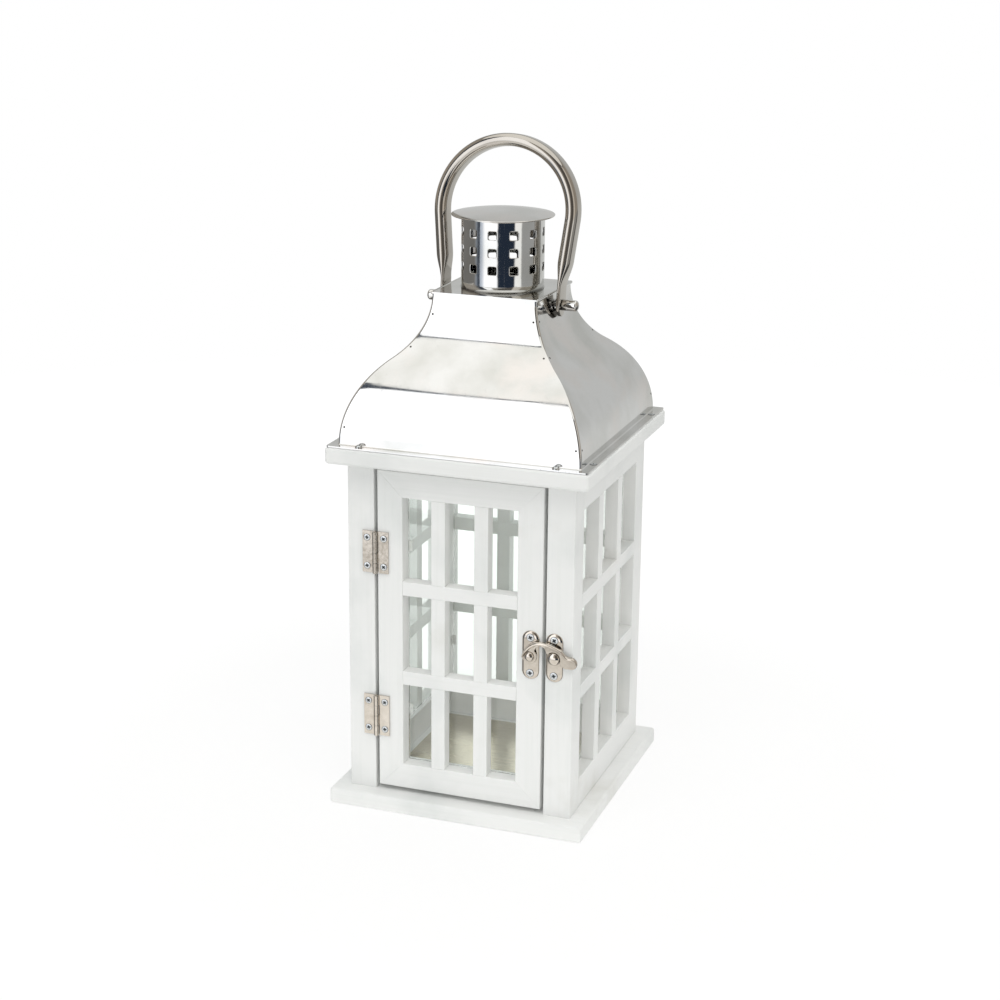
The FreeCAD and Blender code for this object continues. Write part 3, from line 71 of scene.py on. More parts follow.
def eased_outline(half_across, half_up, ease, steps=EASE_STEPS):
    """Anticlockwise rectangle, its corners round: centre plus ease times cosine and sine of the turn."""
    corner = np.repeat(np.arange(4), steps + 1)
    turn = (np.tile(np.linspace(0, 0.5, steps + 1), 4) + 0.5 * corner) * np.pi
    across = np.array([1, -1, -1, 1])[corner] * (half_across - ease) + ease * np.cos(turn)
    up = np.array([1, 1, -1, -1])[corner] * (half_up - ease) + ease * np.sin(turn)
    return across, up


def grid_faces(rows, columns, wrapped=False):
    """Quads between neighbouring rows and columns of points that are numbered row by row."""
    number = np.arange(rows * columns).reshape(rows, columns)
    if wrapped:
        number = np.hstack([number, number[:, :1]])
    quads = np.stack([number[:-1, :-1], number[:-1, 1:], number[1:, 1:], number[1:, :-1]], -1)
    return quads.reshape(-1, 4)


def placed(across, along, up):
    """Points from their three coordinates, each broadcast to the shape of all."""
    return np.stack(np.broadcast_arrays(across, along, up), -1)


def carried(points):
    """Shape from rows of points, each row a closed ring joined to the next."""
    return points.reshape(-1, 3), grid_faces(*points.shape[:2], wrapped=True)


def planed_stick(low, high, along, ease, end_ease=None, mitre=None):
    """Closed stick: an eased rectangle carried along one axis, drawn in at its ends on a quarter circle.

    mitre is (axis, outer): both ends are cut back by the distance from the outer side along that axis.
    The first and last rows are gathered at the middles of the end faces.
    """
    end_ease = end_ease or ease
    first, second = (along + 1) % 3, (along + 2) % 3
    turn = np.r_[END_TURN, END_TURN[::-1]][:, None]
    inset, setback = end_ease * (1 - np.sin(turn)), end_ease * (1 - np.cos(turn))
    at_end = np.repeat([0, 1], EASE_STEPS + 1)[:, None]
    half = (high - low) / 2
    middle = (high + low) / 2
    across, up = eased_outline(half[first] - inset, half[second] - inset, ease - inset)
    points = np.zeros(across.shape + (3,))
    points[..., first] = middle[first] + across
    points[..., second] = middle[second] + up
    cut = np.abs(points[..., mitre[0]] - mitre[1]) if mitre else 0.0
    points[..., along] = np.where(at_end, high[along] - cut - setback, low[along] + cut + setback)
    ends = np.broadcast_to(points[[0, -1]].mean(axis=1, keepdims=True), (2,) + points.shape[1:])
    return carried(np.concatenate([ends[:1], points, ends[1:]]))


def together(shapes):
    """One shape from several: points end to end, face numbers moved on by the points before them."""
    before = np.cumsum([0] + [len(points) for points, faces in shapes[:-1]])
    return (np.concatenate([points for points, faces in shapes]),
            np.concatenate([faces + count for (points, faces), count in zip(shapes, before)]))


def add_piece(name, shape, finish, body, slot, *nodes, flats=True, sunk=None):
    """One object from a shape in millimetres, merged at its seams; it rides a body and stands for CAD nodes.

    sunk gives each point a number that a finish can read as painted shade: one where the surface is cut in,
    and up to the outline at a screw head's rim.
    """
    points, faces = shape
    mesh = bpy.data.meshes.new(name)
    mesh.from_pydata((points * MM).tolist(), [], faces.tolist())
    if sunk is not None:
        mesh.attributes.new("sunk", "FLOAT", "POINT").data.foreach_set("value", sunk)
    work = bmesh.new()
    work.from_mesh(mesh)
    bmesh.ops.remove_doubles(work, verts=work.verts, dist=SEAM * MM)
    bmesh.ops.recalc_face_normals(work, faces=work.faces)
    work.to_mesh(mesh)
    work.free()
    mesh.polygons.foreach_set("use_smooth", np.ones(len(mesh.polygons), dtype=bool))
    if flats:
        mesh.set_sharp_from_angle(angle=FOLD_ANGLE)
    mesh.materials.append(finish)
    piece = bpy.data.objects.new(name, mesh)
    bpy.context.scene.collection.objects.link(piece)
    if flats:
        piece.modifiers.new("keep_flats_flat", "WEIGHTED_NORMAL").keep_sharp = True
    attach(piece, body)
    if nodes:
        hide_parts(*nodes)
    return piece


def feed(owner, socket, value):
    """Set a socket to a number or colour, or join another node's output to it."""
    if isinstance(value, bpy.types.NodeSocket):
        owner.node_tree.links.new(value, socket)
    else:
        socket.default_value = value


def new_node(owner, kind, *ordered, **named):
    """Shader node of a kind, its inputs fed in order or by name, with underscores for spaces."""
    node = owner.node_tree.nodes.new("ShaderNode" + kind)
    for socket, value in zip(node.inputs, ordered):
        feed(owner, socket, value)
    for name, value in named.items():
        feed(owner, node.inputs[name.replace("_", " ")], value)
    return node


def coat(material, **sockets):
    """Feed the sockets of a material's own Principled shader, with underscores for spaces."""
    shader = material.node_tree.nodes["Principled BSDF"]
    for name, value in sockets.items():
        feed(material, shader.inputs[name.replace("_", " ")], value)


def new_finish(name, **sockets):
    """Material with one Principled shader, its even values set on the shader's own sockets."""
    material = bpy.data.materials.new(name)
    material.use_nodes = True
    coat(material, **sockets)
    return material


def mottle(material, scale, detail, stretch=(1, 1, 1)):
    """Noise on the piece's own coordinates, drawn out along an axis where the stretch is small."""
    place = new_node(material, "TexCoord").outputs["Object"]
    mapping = new_node(material, "Mapping", Vector=place, Scale=stretch)
    noise = new_node(material, "TexNoise", Vector=mapping.outputs["Vector"], Scale=scale, Detail=detail)
    return noise.outputs["Fac"]


def tinted(material, amount, first, last, start=0.3, end=0.7):
    """Colour that goes from first to last as the amount goes from start to end."""
    ramp = new_node(material, "ValToRGB", Fac=amount)
    for stop, place, colour in zip(ramp.color_ramp.elements, (start, end), (first, last)):
        stop.position = place
        stop.color = colour
    return ramp.outputs["Color"]


def spread(material, amount, first, last, start=0.3, end=0.7):
    """Number that goes from first to last as the amount goes from start to end."""
    return new_node(material, "MapRange", amount, start, end, first, last).outputs["Result"]


def raised(material, heights, strength, depth):
    """Fine relief on the finish's normal, from the heights, this many millimetres deep."""
    bump = new_node(material, "Bump", Strength=strength, Distance=depth * MM, Height=heights)
    coat(material, Normal=bump.outputs["Normal"])


def blended(material, amount, under, over, how="MIX"):
    """Colour laid over another by an amount; how is Blender's name for the way they are joined."""
    mix = new_node(material, "Mix")
    mix.data_type = "RGBA"
    mix.blend_type = how
    for name, value in (("Factor", amount), ("A", under), ("B", over)):
        feed(material, mix.inputs[name], value)
    return mix.outputs["Result"]


def white_paint(along):
    """Satin paint brushed along one axis: cloudy white, fine brush lines, faint smudges, a little relief."""
    material = new_finish("white_paint_" + "xyz"[along], Specular_IOR_Level=0.35)
    grain = [ACROSS_GRAIN] * 3
    grain[along] = ALONG_GRAIN
    clouds = tinted(material, mottle(material, *PAINT_CLOUDS), PAINT_SHADE, PAINT_LIGHT, *CLOUD_LIMITS)
    brush = mottle(material, 1, GRAIN_DETAIL, grain)
    lines = tinted(material, brush, GRAIN_SHADE, GRAIN_LIGHT, *GRAIN_LIMITS)
    painted = blended(material, 1.0, clouds, lines, "MULTIPLY")
    handled = spread(material, mottle(material, *SMUDGE_CLOUDS), 0.0, SMUDGE_MOST, *SMUDGE_LIMITS)
    coat(material, Base_Color=blended(material, handled, painted, SMUDGE),
         Roughness=spread(material, brush, *PAINT_ROUGHNESS))
    raised(material, brush, GRAIN_STRENGTH, GRAIN_DEPTH)
    return material


PAINT = [white_paint(0), white_paint(1), white_paint(2)]
add_piece("base_board_painted", planed_stick(*node_box("base_board"), 0, BOARD_EASE),
          PAINT[0], "lantern", "white_wood", "base_board")

# Frame screws: countersunk steel screws that hold the posts from under the base and from above the top board.
# The lower heads sit in their holes under the base; the upper ones are hidden under the roof.
ZINC = (0.55, 0.57, 0.58, 1), (0.72, 0.74, 0.745, 1)
# Painted shade: near black laid into each screw head's slots and round its rim.
SLOT_SHADE = (0.05, 0.06, 0.07, 1)


def mottled_finish(name, tints, clouds, roughness, marks, limits=(0.3, 0.7), over=None, **sockets):
    """Finish whose tint drifts between two colours with one noise, and its roughness with a finer one.

    A noise is (scale, detail) or (scale, detail, stretch). The function over lays a colour on the tint.
    """
    material = new_finish(name, **sockets)
    tint = tinted(material, mottle(material, *clouds), *tints, *limits)
    coat(material, Base_Color=over(material, tint) if over else tint,
         Roughness=spread(material, mottle(material, *marks), *roughness))
    return material


def shaded_slots(material, zinc):
    """Zinc with painted shade laid over it as far as the mesh's sunk number says: dark in the slots and round
    the rim.
    """
    sunk = new_node(material, "Attribute")
    sunk.attribute_name = "sunk"
    return blended(material, sunk.outputs["Fac"], zinc, SLOT_SHADE)


def refinish(finish, *nodes):
    """Give the objects of CAD nodes one finish on all their faces."""
    for node in nodes:
        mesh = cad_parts[node].data
        mesh.materials.clear()
        mesh.materials.append(finish)


screw_steel = mottled_finish("screw_steel", ZINC, clouds=(900, 2), limits=(0.35, 0.65), roughness=(0.14, 0.3),
                             marks=(1600, 2), over=shaded_slots, Metallic=1.0)
refinish(screw_steel, "base_screws", "top_screws")

# Corner posts, rails and glazing bars of the three fixed sides: planed timber, glued and painted white.
# The bars are half lapped where they cross, so a crossbar runs through and the uprights show in lengths.
STICK_EASE = 0.45
BAR_EASE = 0.3
JOINT_EASE = 0.13
BAR_WIDTH = 8.0
ALONG = {"front": 0, "back": 0, "left": 1, "right": 1}


def painted_stick(member, along, body, mitre=None):
    """Planed stick on the box of a CAD node, painted along its grain."""
    add_piece(member + "_painted", planed_stick(*node_box(member), along, STICK_EASE, JOINT_EASE, mitre),
              PAINT[along], body, "white_wood", member)


def glazing_bars(prefix, along, body):
    """Two crossbars right across, and two uprights in three lengths between the rails and crossbars."""
    low, high = node_box(prefix + "_crossbars")
    lower_bar, upper_bar = low[2], high[2] - BAR_WIDTH
    crossbars = []
    for foot in (lower_bar, upper_bar):
        corner, opposite = low.copy(), high.copy()
        corner[2], opposite[2] = foot, foot + BAR_WIDTH
        crossbars.append(planed_stick(corner, opposite, along, BAR_EASE, JOINT_EASE))
    low, high = node_box(prefix + "_uprights")
    lengths = (low[2], lower_bar), (lower_bar + BAR_WIDTH, upper_bar), (upper_bar + BAR_WIDTH, high[2])
    uprights = []
    for start in (low[along], high[along] - BAR_WIDTH):
        for foot, head in lengths:
            corner, opposite = low.copy(), high.copy()
            corner[along], opposite[along] = start, start + BAR_WIDTH
            corner[2], opposite[2] = foot, head
            uprights.append(planed_stick(corner, opposite, 2, BAR_EASE, JOINT_EASE))
    for node, grain, bars in (("_crossbars", along, crossbars), ("_uprights", 2, uprights)):
        node = prefix + node
        add_piece(node + "_painted", together(bars), PAINT[grain], body, "white_wood", node)


for post in ("front_left_post", "front_right_post", "back_left_post", "back_right_post"):
    painted_stick(post, 2, "lantern")
for side in ("left", "right", "back"):
    for level in ("top", "bottom"):
        painted_stick(f"{side}_{level}_rail", ALONG[side], "lantern")
for side in ("left", "right", "back"):
    glazing_bars(side, ALONG[side], "lantern")

# Floor plate: a thin sheet of satin plated steel laid on the base board for the candle to stand on.
# It is brushed from side to side and shows blurred reflections of the windows.
SATIN = (0.56, 0.51, 0.405, 1), (0.66, 0.615, 0.51, 1)
BRUSHING = (1, 3, (30, 5000, 5000))
BRUSH_STRENGTH, BRUSH_DEPTH = 0.1, 0.03
satin_plate = mottled_finish("satin_plate", SATIN, clouds=(30, 4), roughness=(0.22, 0.3), marks=BRUSHING,
                             Metallic=1.0)
raised(satin_plate, mottle(satin_plate, *BRUSHING), BRUSH_STRENGTH, BRUSH_DEPTH)
refinish(satin_plate, "floor_plate")

# Window panes: clear float glass, cut to size, faintly green, dropped into the rebates behind the bars.
# Lamps shine straight through them, so the floor and the inside of the lantern stay lit.
PANE_EASE = 0.25
PANE_GREEN, PANE_SHADOW = (0.95, 0.98, 0.96, 1), (0.99, 0.99, 0.985, 1)
PANE_SMEARS, PANE_ROUGHNESS = (55, 5), (0.0, 0.03)


def calculate(owner, operation, first, second=0.0):
    """Result of a sum on outputs or numbers, by Blender's name for the operation."""
    node = new_node(owner, "Math", first, second)
    node.operation = operation
    return node.outputs["Value"]


def overlaid(owner, amount, under, over):
    """Shader laid over another by an amount."""
    return new_node(owner, "MixShader", amount, under, over).outputs["Shader"]


window_glass = new_finish("window_glass", Base_Color=PANE_GREEN, Transmission_Weight=1.0, IOR=1.54)
coat(window_glass, Roughness=spread(window_glass, mottle(window_glass, *PANE_SMEARS), *PANE_ROUGHNESS))
pane_ray = new_node(window_glass, "LightPath").outputs
lamp_ray = calculate(window_glass, "MAXIMUM", pane_ray["Is Shadow Ray"], pane_ray["Is Diffuse Ray"])
glass_nodes = window_glass.node_tree.nodes
clear_way = new_node(window_glass, "BsdfTransparent", Color=PANE_SHADOW).outputs["BSDF"]
feed(window_glass, glass_nodes["Material Output"].inputs["Surface"],
     overlaid(window_glass, lamp_ray, glass_nodes["Principled BSDF"].outputs["BSDF"], clear_way))
for side in ("left", "right", "back", "door"):
    pane = side + "_glass"
    add_piece(pane + "_pane", planed_stick(*node_box(pane), 2, PANE_EASE), window_glass,
              "door" if side == "door" else "lantern", "clear_glass", pane)

# Glass clips: short bent strips of steel fixed to the frame inside, which press the panes to the bars.
# There are two to each upright of a window, painted over white with the frame.
ENAMEL = (0.77, 0.775, 0.76, 1), (0.85, 0.85, 0.84, 1)
clip_enamel = mottled_finish("clip_enamel", ENAMEL, clouds=(400, 3), roughness=(0.3, 0.45), marks=(900, 3),
                             Specular_IOR_Level=0.4)
refinish(clip_enamel, "side_glass_clips", "door_glass_clips")

# Door: two stiles and two rails of planed timber mitred at the corners, with bars like the fixed sides.
# It hangs flush in the front opening, a narrow gap all round, and is painted white like the rest.
LOW_SIDE, HIGH_SIDE = 0, 1
for member, along, outer_side in (
    ("door_hinge_stile", 2, LOW_SIDE),
    ("door_latch_stile", 2, HIGH_SIDE),
    ("door_bottom_rail", 0, LOW_SIDE),
    ("door_top_rail", 0, HIGH_SIDE),
):
    across = 2 - along
    painted_stick(member, along, "door", (across, node_box(member)[outer_side, across]))
glazing_bars("door", ALONG["front"], "door")

# Butt hinges: two leaves of folded plated strip with rolled knuckles on a pin, one leaf on the left post.
# They are plated with warm nickel, and each leaf is held by two small cross-head screws.
# Painted shade for the metals: a dark colour laid on where ambient occlusion finds other surfaces near.
CORNER_SHADE, CORNER_SHADE_LIMITS = (0.09, 0.08, 0.07, 1), (0.3, 0.75)
NICKEL_CORNER_SHADE = 1.6, 0.8
HINGE_AXIS, HINGE_MIDDLES, LEAF_FACE = -49.0, (54.7, 151.1), -66.4
HINGE_SCREW, HINGE_SCREW_REACH, HINGE_SCREW_RISE = 2.0, 4.9, 8.15
SCREW_RIM, SCREW_RISE = 0.12, 0.34
SLOT_REACH, SLOT_HALF, SLOT_DEPTH = 0.56, 0.17, 0.3
SLOT_WIDEST, SLOT_TAPER = 1.25, 0.6
SLOT_END_RAMP, SLOT_SIDE_RAMP = 0.12, 0.08
# Painted shade round a head's rim: how dark at most, then where it starts and how fast it ramps, as shares of
# the radius.
RIM_SHADE, RIM_START, RIM_RAMP = 0.75, 0.86, 0.1
HEAD_GRID = 33


def corner_shaded(material, clean, reach, most):
    """Metal's colour with painted shade laid over it where other surfaces stand within reach, in millimetres.
    """
    openness = new_node(material, "AmbientOcclusion", Distance=reach * MM).outputs["AO"]
    return blended(material, spread(material, openness, most, 0.0, *CORNER_SHADE_LIMITS), clean, CORNER_SHADE)


def plated_nickel(name, dull, bright, roughness):
    """Nickel plate: a cloudy tint, fine polish marks, and painted shade in its corners."""
    return mottled_finish(
        name, (dull, bright), clouds=(160, 4), roughness=roughness, marks=(700, 3), Metallic=1.0,
        over=lambda material, tint: corner_shaded(material, tint, *NICKEL_CORNER_SHADE))


def plate_faces(rows, columns):
    """Faces of a closed plate: a front grid, a back grid turned over, and a strip round the border."""
    front = grid_faces(rows, columns)
    back = front[:, ::-1] + rows * columns
    number = np.arange(rows * columns).reshape(rows, columns)
    border = np.r_[number[0], number[1:, -1], number[-1, -2::-1], number[-2:0:-1, 0]]
    after = np.roll(border, -1)
    strip = np.stack([after, border, border + rows * columns, after + rows * columns], -1)
    return np.concatenate([front, back, strip])


def facing_front(points, place, front_y):
    """Points given as (across, up, out) from a place (across, up), turned so that out = 0 lies at front_y."""
    return placed(place[0] + points[..., 0], front_y - points[..., 2], place[1] + points[..., 1])


def cross_head(radius, turn, rise=SCREW_RISE, outline=RIM_SHADE):
    """Low domed screw head on a square grid bent to a disc, sunk by the deeper of two crossed slots.

    Its points and faces are given, and its painted shade: one in the slots and up to the outline at the rim.
    """
    line = np.linspace(-1, 1, HEAD_GRID)
    v, u = np.meshgrid(line, line, indexing="ij")
    across, up = u * np.sqrt(1 - v ** 2 / 2), v * np.sqrt(1 - u ** 2 / 2)
    dome = SCREW_RIM + (rise - SCREW_RIM) * np.sqrt(np.clip(1 - across ** 2 - up ** 2, 0, 1))
    ahead = np.cos(turn) * across + np.sin(turn) * up
    aside = np.cos(turn) * up - np.sin(turn) * across

    def slot(run, width):
        """One inside a slot that narrows to its ends, falling to zero over ramps at its ends and sides."""
        narrowing = SLOT_HALF * (SLOT_WIDEST - SLOT_TAPER * np.abs(run) / SLOT_REACH)
        open_run = np.clip((SLOT_REACH - np.abs(run)) / SLOT_END_RAMP, 0, 1)
        return open_run * np.clip((narrowing - np.abs(width)) / SLOT_SIDE_RAMP + 0.5, 0, 1)

    sunk = np.maximum(slot(ahead, aside), slot(aside, ahead))
    front = placed(across * radius, up * radius, dome - SLOT_DEPTH * sunk)
    back = placed(across * radius, up * radius, -SLOT_DEPTH)
    rim = np.clip((np.hypot(across, up) - RIM_START) / RIM_RAMP, 0, outline)
    head_shade = np.r_[np.maximum(sunk, rim).ravel(), np.full(sunk.size, outline)]
    return np.stack([front, back]).reshape(-1, 3), plate_faces(HEAD_GRID, HEAD_GRID), head_shade


def add_heads(name, heads, body, node):
    """One piece of several cross heads, each with its points, faces and painted shade."""
    points, faces, head_shade = zip(*heads)
    add_piece(name, together(list(zip(points, faces))), screw_steel, body, "screw_steel", node,
              sunk=np.concatenate(head_shade))


def screw_group(name, places, turns, radius, face_y, body, node):
    """Cross heads set at places (across, up) on a front face, each turned its own way."""
    heads = []
    for place, turn in zip(places, turns):
        points, faces, head_shade = cross_head(radius, turn)
        heads.append((facing_front(points, place, face_y), faces, head_shade))
    add_heads(name, heads, body, node)


warm_nickel = plated_nickel("warm_nickel", (0.63, 0.575, 0.505, 1), (0.79, 0.735, 0.665, 1), (0.07, 0.2))
for level in ("upper", "lower"):
    refinish(warm_nickel, *(f"{level}_hinge_{part}" for part in ("post_leaf", "door_leaf", "pin")))
for leaf, body, side, turns in (("post", "lantern", -1, (0.3, 0.9, 0.2, 0.05)),
                                ("door", "door", 1, (0.1, 0.6, 0.75, 0.7))):
    places = [(HINGE_AXIS + side * HINGE_SCREW_REACH, middle + rise * HINGE_SCREW_RISE)
              for middle in HINGE_MIDDLES for rise in (-1, 1)]
    screw_group(f"hinge_{leaf}_screw_heads", places, turns, HINGE_SCREW, LEAF_FACE, body,
                f"hinge_{leaf}_screws")

# Latch plates: two strips of nickel-plated brass with round ends, pressed to a soft pillow shape.
# One is screwed to the door and carries the arm's rivet; the other has the catch stud, on the right post.
DOOR_PLATE, POST_PLATE = (41.6, 103.2), (55.2, 103.2)
PLATE_HALF_WIDTH, PLATE_HALF_LENGTH = 4.9, 14.0
PLATE_BACK, PLATE_THICK, PLATE_RIM = -65.5, 1.0, 2.7
PLATE_RIM_STEPS, PLATE_END_STEPS = 10, 25
PLATE_SCREW, PLATE_SCREW_RISE = 2.25, 10.25
STUD_RADIUS, STUD_DOME, STUD_FOOT, STUD_FRONT = 3.7, 1.7, 0.2, -69.1
LATHE_STEPS, STUB_STEPS, DOME_STEPS = 96, 48, 12


def quarter_turn(steps):
    """Angles in even steps from zero to a right angle."""
    return np.radians(np.linspace(0, 90, steps))


def pressed_plate(place):
    """Plate with round ends: a profile of (inset, out), a quarter ellipse at the rim, carried round it."""
    over = quarter_turn(PLATE_RIM_STEPS)
    inset = np.r_[PLATE_HALF_WIDTH, PLATE_RIM * (1 - np.cos(over)), PLATE_HALF_WIDTH][:, None]
    out = np.r_[0, PLATE_THICK * np.sin(over), PLATE_THICK][:, None]
    half_round = np.linspace(0, np.pi, PLATE_END_STEPS)
    around = np.r_[half_round, np.pi + half_round]
    end = np.repeat([1, -1], PLATE_END_STEPS) * (PLATE_HALF_LENGTH - PLATE_HALF_WIDTH)
    reach = PLATE_HALF_WIDTH - inset
    points = placed(reach * np.cos(around), end + reach * np.sin(around), out)
    return carried(facing_front(points, place, PLATE_BACK))


def spun(reach, height, steps=LATHE_STEPS):
    """Profile (reach, height) carried once round the upright axis; a reach of zero closes to a pole."""
    around = np.linspace(0, 2 * np.pi, steps, endpoint=False)
    reach, height = np.asarray(reach)[:, None], np.asarray(height)[:, None]
    return carried(placed(reach * np.cos(around), reach * np.sin(around), height))


def domed_stub(radius, straight, dome, foot=0.0, chamfer=0.0):
    """Short round bar: a chamfer at its foot, a straight side, then a quarter ellipse, spun."""
    over = quarter_turn(DOME_STEPS)
    return spun(np.r_[0, radius - chamfer, radius, radius * np.cos(over)],
                np.r_[foot, foot, foot + chamfer, straight + dome * np.sin(over)], STUB_STEPS)


bright_nickel = plated_nickel("bright_nickel", (0.58, 0.525, 0.46, 1), (0.74, 0.685, 0.615, 1), (0.04, 0.11))
add_piece("latch_door_plate_pressed", pressed_plate(DOOR_PLATE), bright_nickel, "door",
          "plated_metal", "latch_door_plate")
points, faces = domed_stub(STUD_RADIUS, PLATE_BACK - STUD_FRONT - STUD_DOME, STUD_DOME, STUD_FOOT)
catch_stud = facing_front(points, POST_PLATE, PLATE_BACK), faces
add_piece("latch_post_plate_pressed", together([pressed_plate(POST_PLATE), catch_stud]), bright_nickel,
          "lantern", "plated_metal", "latch_post_plate")
for name, (across, up), turns, body in (("latch_door_screw", DOOR_PLATE, (0.2, 0.5), "door"),
                                        ("latch_post_screw", POST_PLATE, (0.35, 0.7), "lantern")):
    places = [(across, up + rise * PLATE_SCREW_RISE) for rise in (-1, 1)]
    screw_group(name + "_heads", places, turns, PLATE_SCREW, PLATE_BACK - PLATE_THICK, body, name + "s")

# Latch arm: stamped from the same plated brass, with an eye on the rivet, an arch, a hook over the stud and a
# finger rest. A rounded bead is raised along its upper edge out to the finger rest.
ARM_BACK = -67.2
BEAD_HALF, BEAD_FOOT, BEAD_RISE = 1.05, 0.9, 1.45
BEAD_TURN = np.radians(np.linspace(0, 172, 14))
ARM_ROUND, ARM_SIDE, ARM_ROUND_STEPS = 0.55, 0.6, 6
FULL_GAP, LEAST_GAP = 2.6, 1e-6
ARC_STEPS = 40
EYE, ARCH_WINDOW = ((41.6, 103.2), 4.2), ((47.7, 106.4), 3.3)
HOOK, FINGER = ((55.2, 103.2), 4.0), ((65.3, 102.1), 3.5)
RISE, CROWN = ((48.4, 101.1), 11.2), ((48.4, 89.8), 22.5)
WINDOW_END = (51.0, 106.4)
ARM_NECK = np.array([[59.8, 109.2], [61.0, 108.4], [61.6, 105.7], [64.2, 105.6]])
ARM_NECK_END, ARM_NECK_STEPS = (65.3, 105.6), 30
HEEL = (59.2, 103.2), (59.2, 100.3), (61.6, 98.6), (65.3, 98.6)
EYE_ROWS, WINDOW_ROWS, HOOK_ROWS, NECK_ROWS, FINGER_ROWS = 30, 18, 26, 20, 16
RIVET_RADIUS, RIVET_RISE, RIVET_SEAT = 2.9, 1.75, -68.3


def arc(centre, radius, start, end):
    """Points on a circle from one angle to another, in degrees."""
    turn = np.radians(np.linspace(start, end, ARC_STEPS))
    return np.stack([centre[0] + radius * np.cos(turn), centre[1] + radius * np.sin(turn)], -1)


def evenly(count, *stretches):
    """Points spaced evenly along stretches laid end to end, by the distance gone."""
    path = np.concatenate(stretches)
    gone = np.r_[0, np.cumsum(np.hypot(*np.diff(path, axis=0).T))]
    at = np.linspace(0, gone[-1], count)
    return np.stack([np.interp(at, gone, path[:, 0]), np.interp(at, gone, path[:, 1])], -1)


def stamped_arm():
    """Upper and lower edges in matching stretches, and a closed profile carried along between them.

    The profile runs over the bead at the upper edge, across the face, round the lower edge and back.
    It shrinks with the gap between the edges, to a point at the eye's far side and at the finger's tip.
    The neck is a cubic curve on its four points.
    """
    bend = np.linspace(0, 1, ARM_NECK_STEPS)[:, None]
    neck = ((1 - bend) ** 3 * ARM_NECK[0] + 3 * (1 - bend) ** 2 * bend * ARM_NECK[1]
            + 3 * (1 - bend) * bend ** 2 * ARM_NECK[2] + bend ** 3 * ARM_NECK[3])
    upper = [evenly(EYE_ROWS, arc(*RISE, 169.2, 116)),
             evenly(WINDOW_ROWS, arc(*RISE, 116, 90), arc(*CROWN, 90, 82)),
             evenly(HOOK_ROWS, arc(*CROWN, 82, 59.6)),
             evenly(NECK_ROWS, neck, [ARM_NECK_END]),
             evenly(FINGER_ROWS, arc(*FINGER, 90, 0))]
    lower = [evenly(EYE_ROWS, arc(*EYE, 180, 409)),
             evenly(WINDOW_ROWS, arc(*ARCH_WINDOW, 180, 0)),
             evenly(HOOK_ROWS, [WINDOW_END], arc(*HOOK, 142.7, 0)),
             evenly(NECK_ROWS, HEEL),
             evenly(FINGER_ROWS, arc(*FINGER, -90, 0))]
    upper, lower = np.concatenate(upper)[:, None], np.concatenate(lower)[:, None]
    gap = np.linalg.norm(lower - upper, axis=-1)
    towards = (lower - upper) / np.maximum(gap, LEAST_GAP)[..., None]
    full = np.clip(gap / FULL_GAP, 0, 1)
    round_off = quarter_turn(ARM_ROUND_STEPS)
    from_upper = np.r_[0, BEAD_HALF * (1 - np.cos(BEAD_TURN))]
    from_lower = np.r_[ARM_ROUND * (1 - np.sin(round_off)), 0]
    out = np.r_[0, BEAD_FOOT + BEAD_RISE * np.sin(BEAD_TURN), ARM_SIDE + ARM_ROUND * np.cos(round_off), 0]
    plan = np.concatenate([upper + towards * (full * from_upper)[..., None],
                           lower - towards * (full * from_lower)[..., None]], axis=1)
    points = np.concatenate([plan, (np.sqrt(full) * out)[..., None]], -1)
    return carried(facing_front(points, (0, 0), ARM_BACK))


add_piece("latch_arm_stamped", stamped_arm(), bright_nickel, "latch_arm", "plated_metal", "latch_arm")
points, faces = domed_stub(RIVET_RADIUS, 0.0, RIVET_RISE)
add_piece("latch_rivet_domed", (facing_front(points, EYE[0], RIVET_SEAT), faces), bright_nickel, "door",
          "plated_metal", "latch_rivet")

# Top board: the twin of the base board, with a round hole cut through its middle for the warm air.
# It lies on the posts and rails under the roof's flange.
VENT_RADIUS = 32.0
SIDE_STEPS = 12


def holed_board(low, high, hole, ease):
    """Square board with a round hole: its eased edge and the hole's wall, one profile carried round."""
    corners = np.stack(eased_outline(high[0], high[1], ease), -1).reshape(4, EASE_STEPS + 1, 2)
    sides = np.linspace(corners[:, -1], np.roll(corners[:, 0], -1, axis=0), SIDE_STEPS, axis=1)[:, 1:-1]
    across, up = np.concatenate([corners, sides], axis=1).reshape(-1, 2).T
    turn = quarter_turn(EASE_STEPS + 1)
    inset, setback = ease * (1 - np.sin(turn)), ease * (1 - np.cos(turn))
    inset, height = np.r_[inset, inset[::-1]][:, None], np.r_[low[2] + setback, high[2] - setback[::-1]]
    shrink = 1 - inset / high[0]
    edge = placed(across * shrink, up * shrink, height[:, None])
    around = np.arctan2(up, across)
    ring = hole * np.cos(around), hole * np.sin(around)
    foot, head = [placed(*ring, low[2])], [placed(*ring, high[2])]
    return carried(np.concatenate([foot, edge, head, foot]))


add_piece("top_board_painted", holed_board(*node_box("top_board"), VENT_RADIUS, BOARD_EASE),
          PAINT[0], "lantern", "white_wood", "top_board")

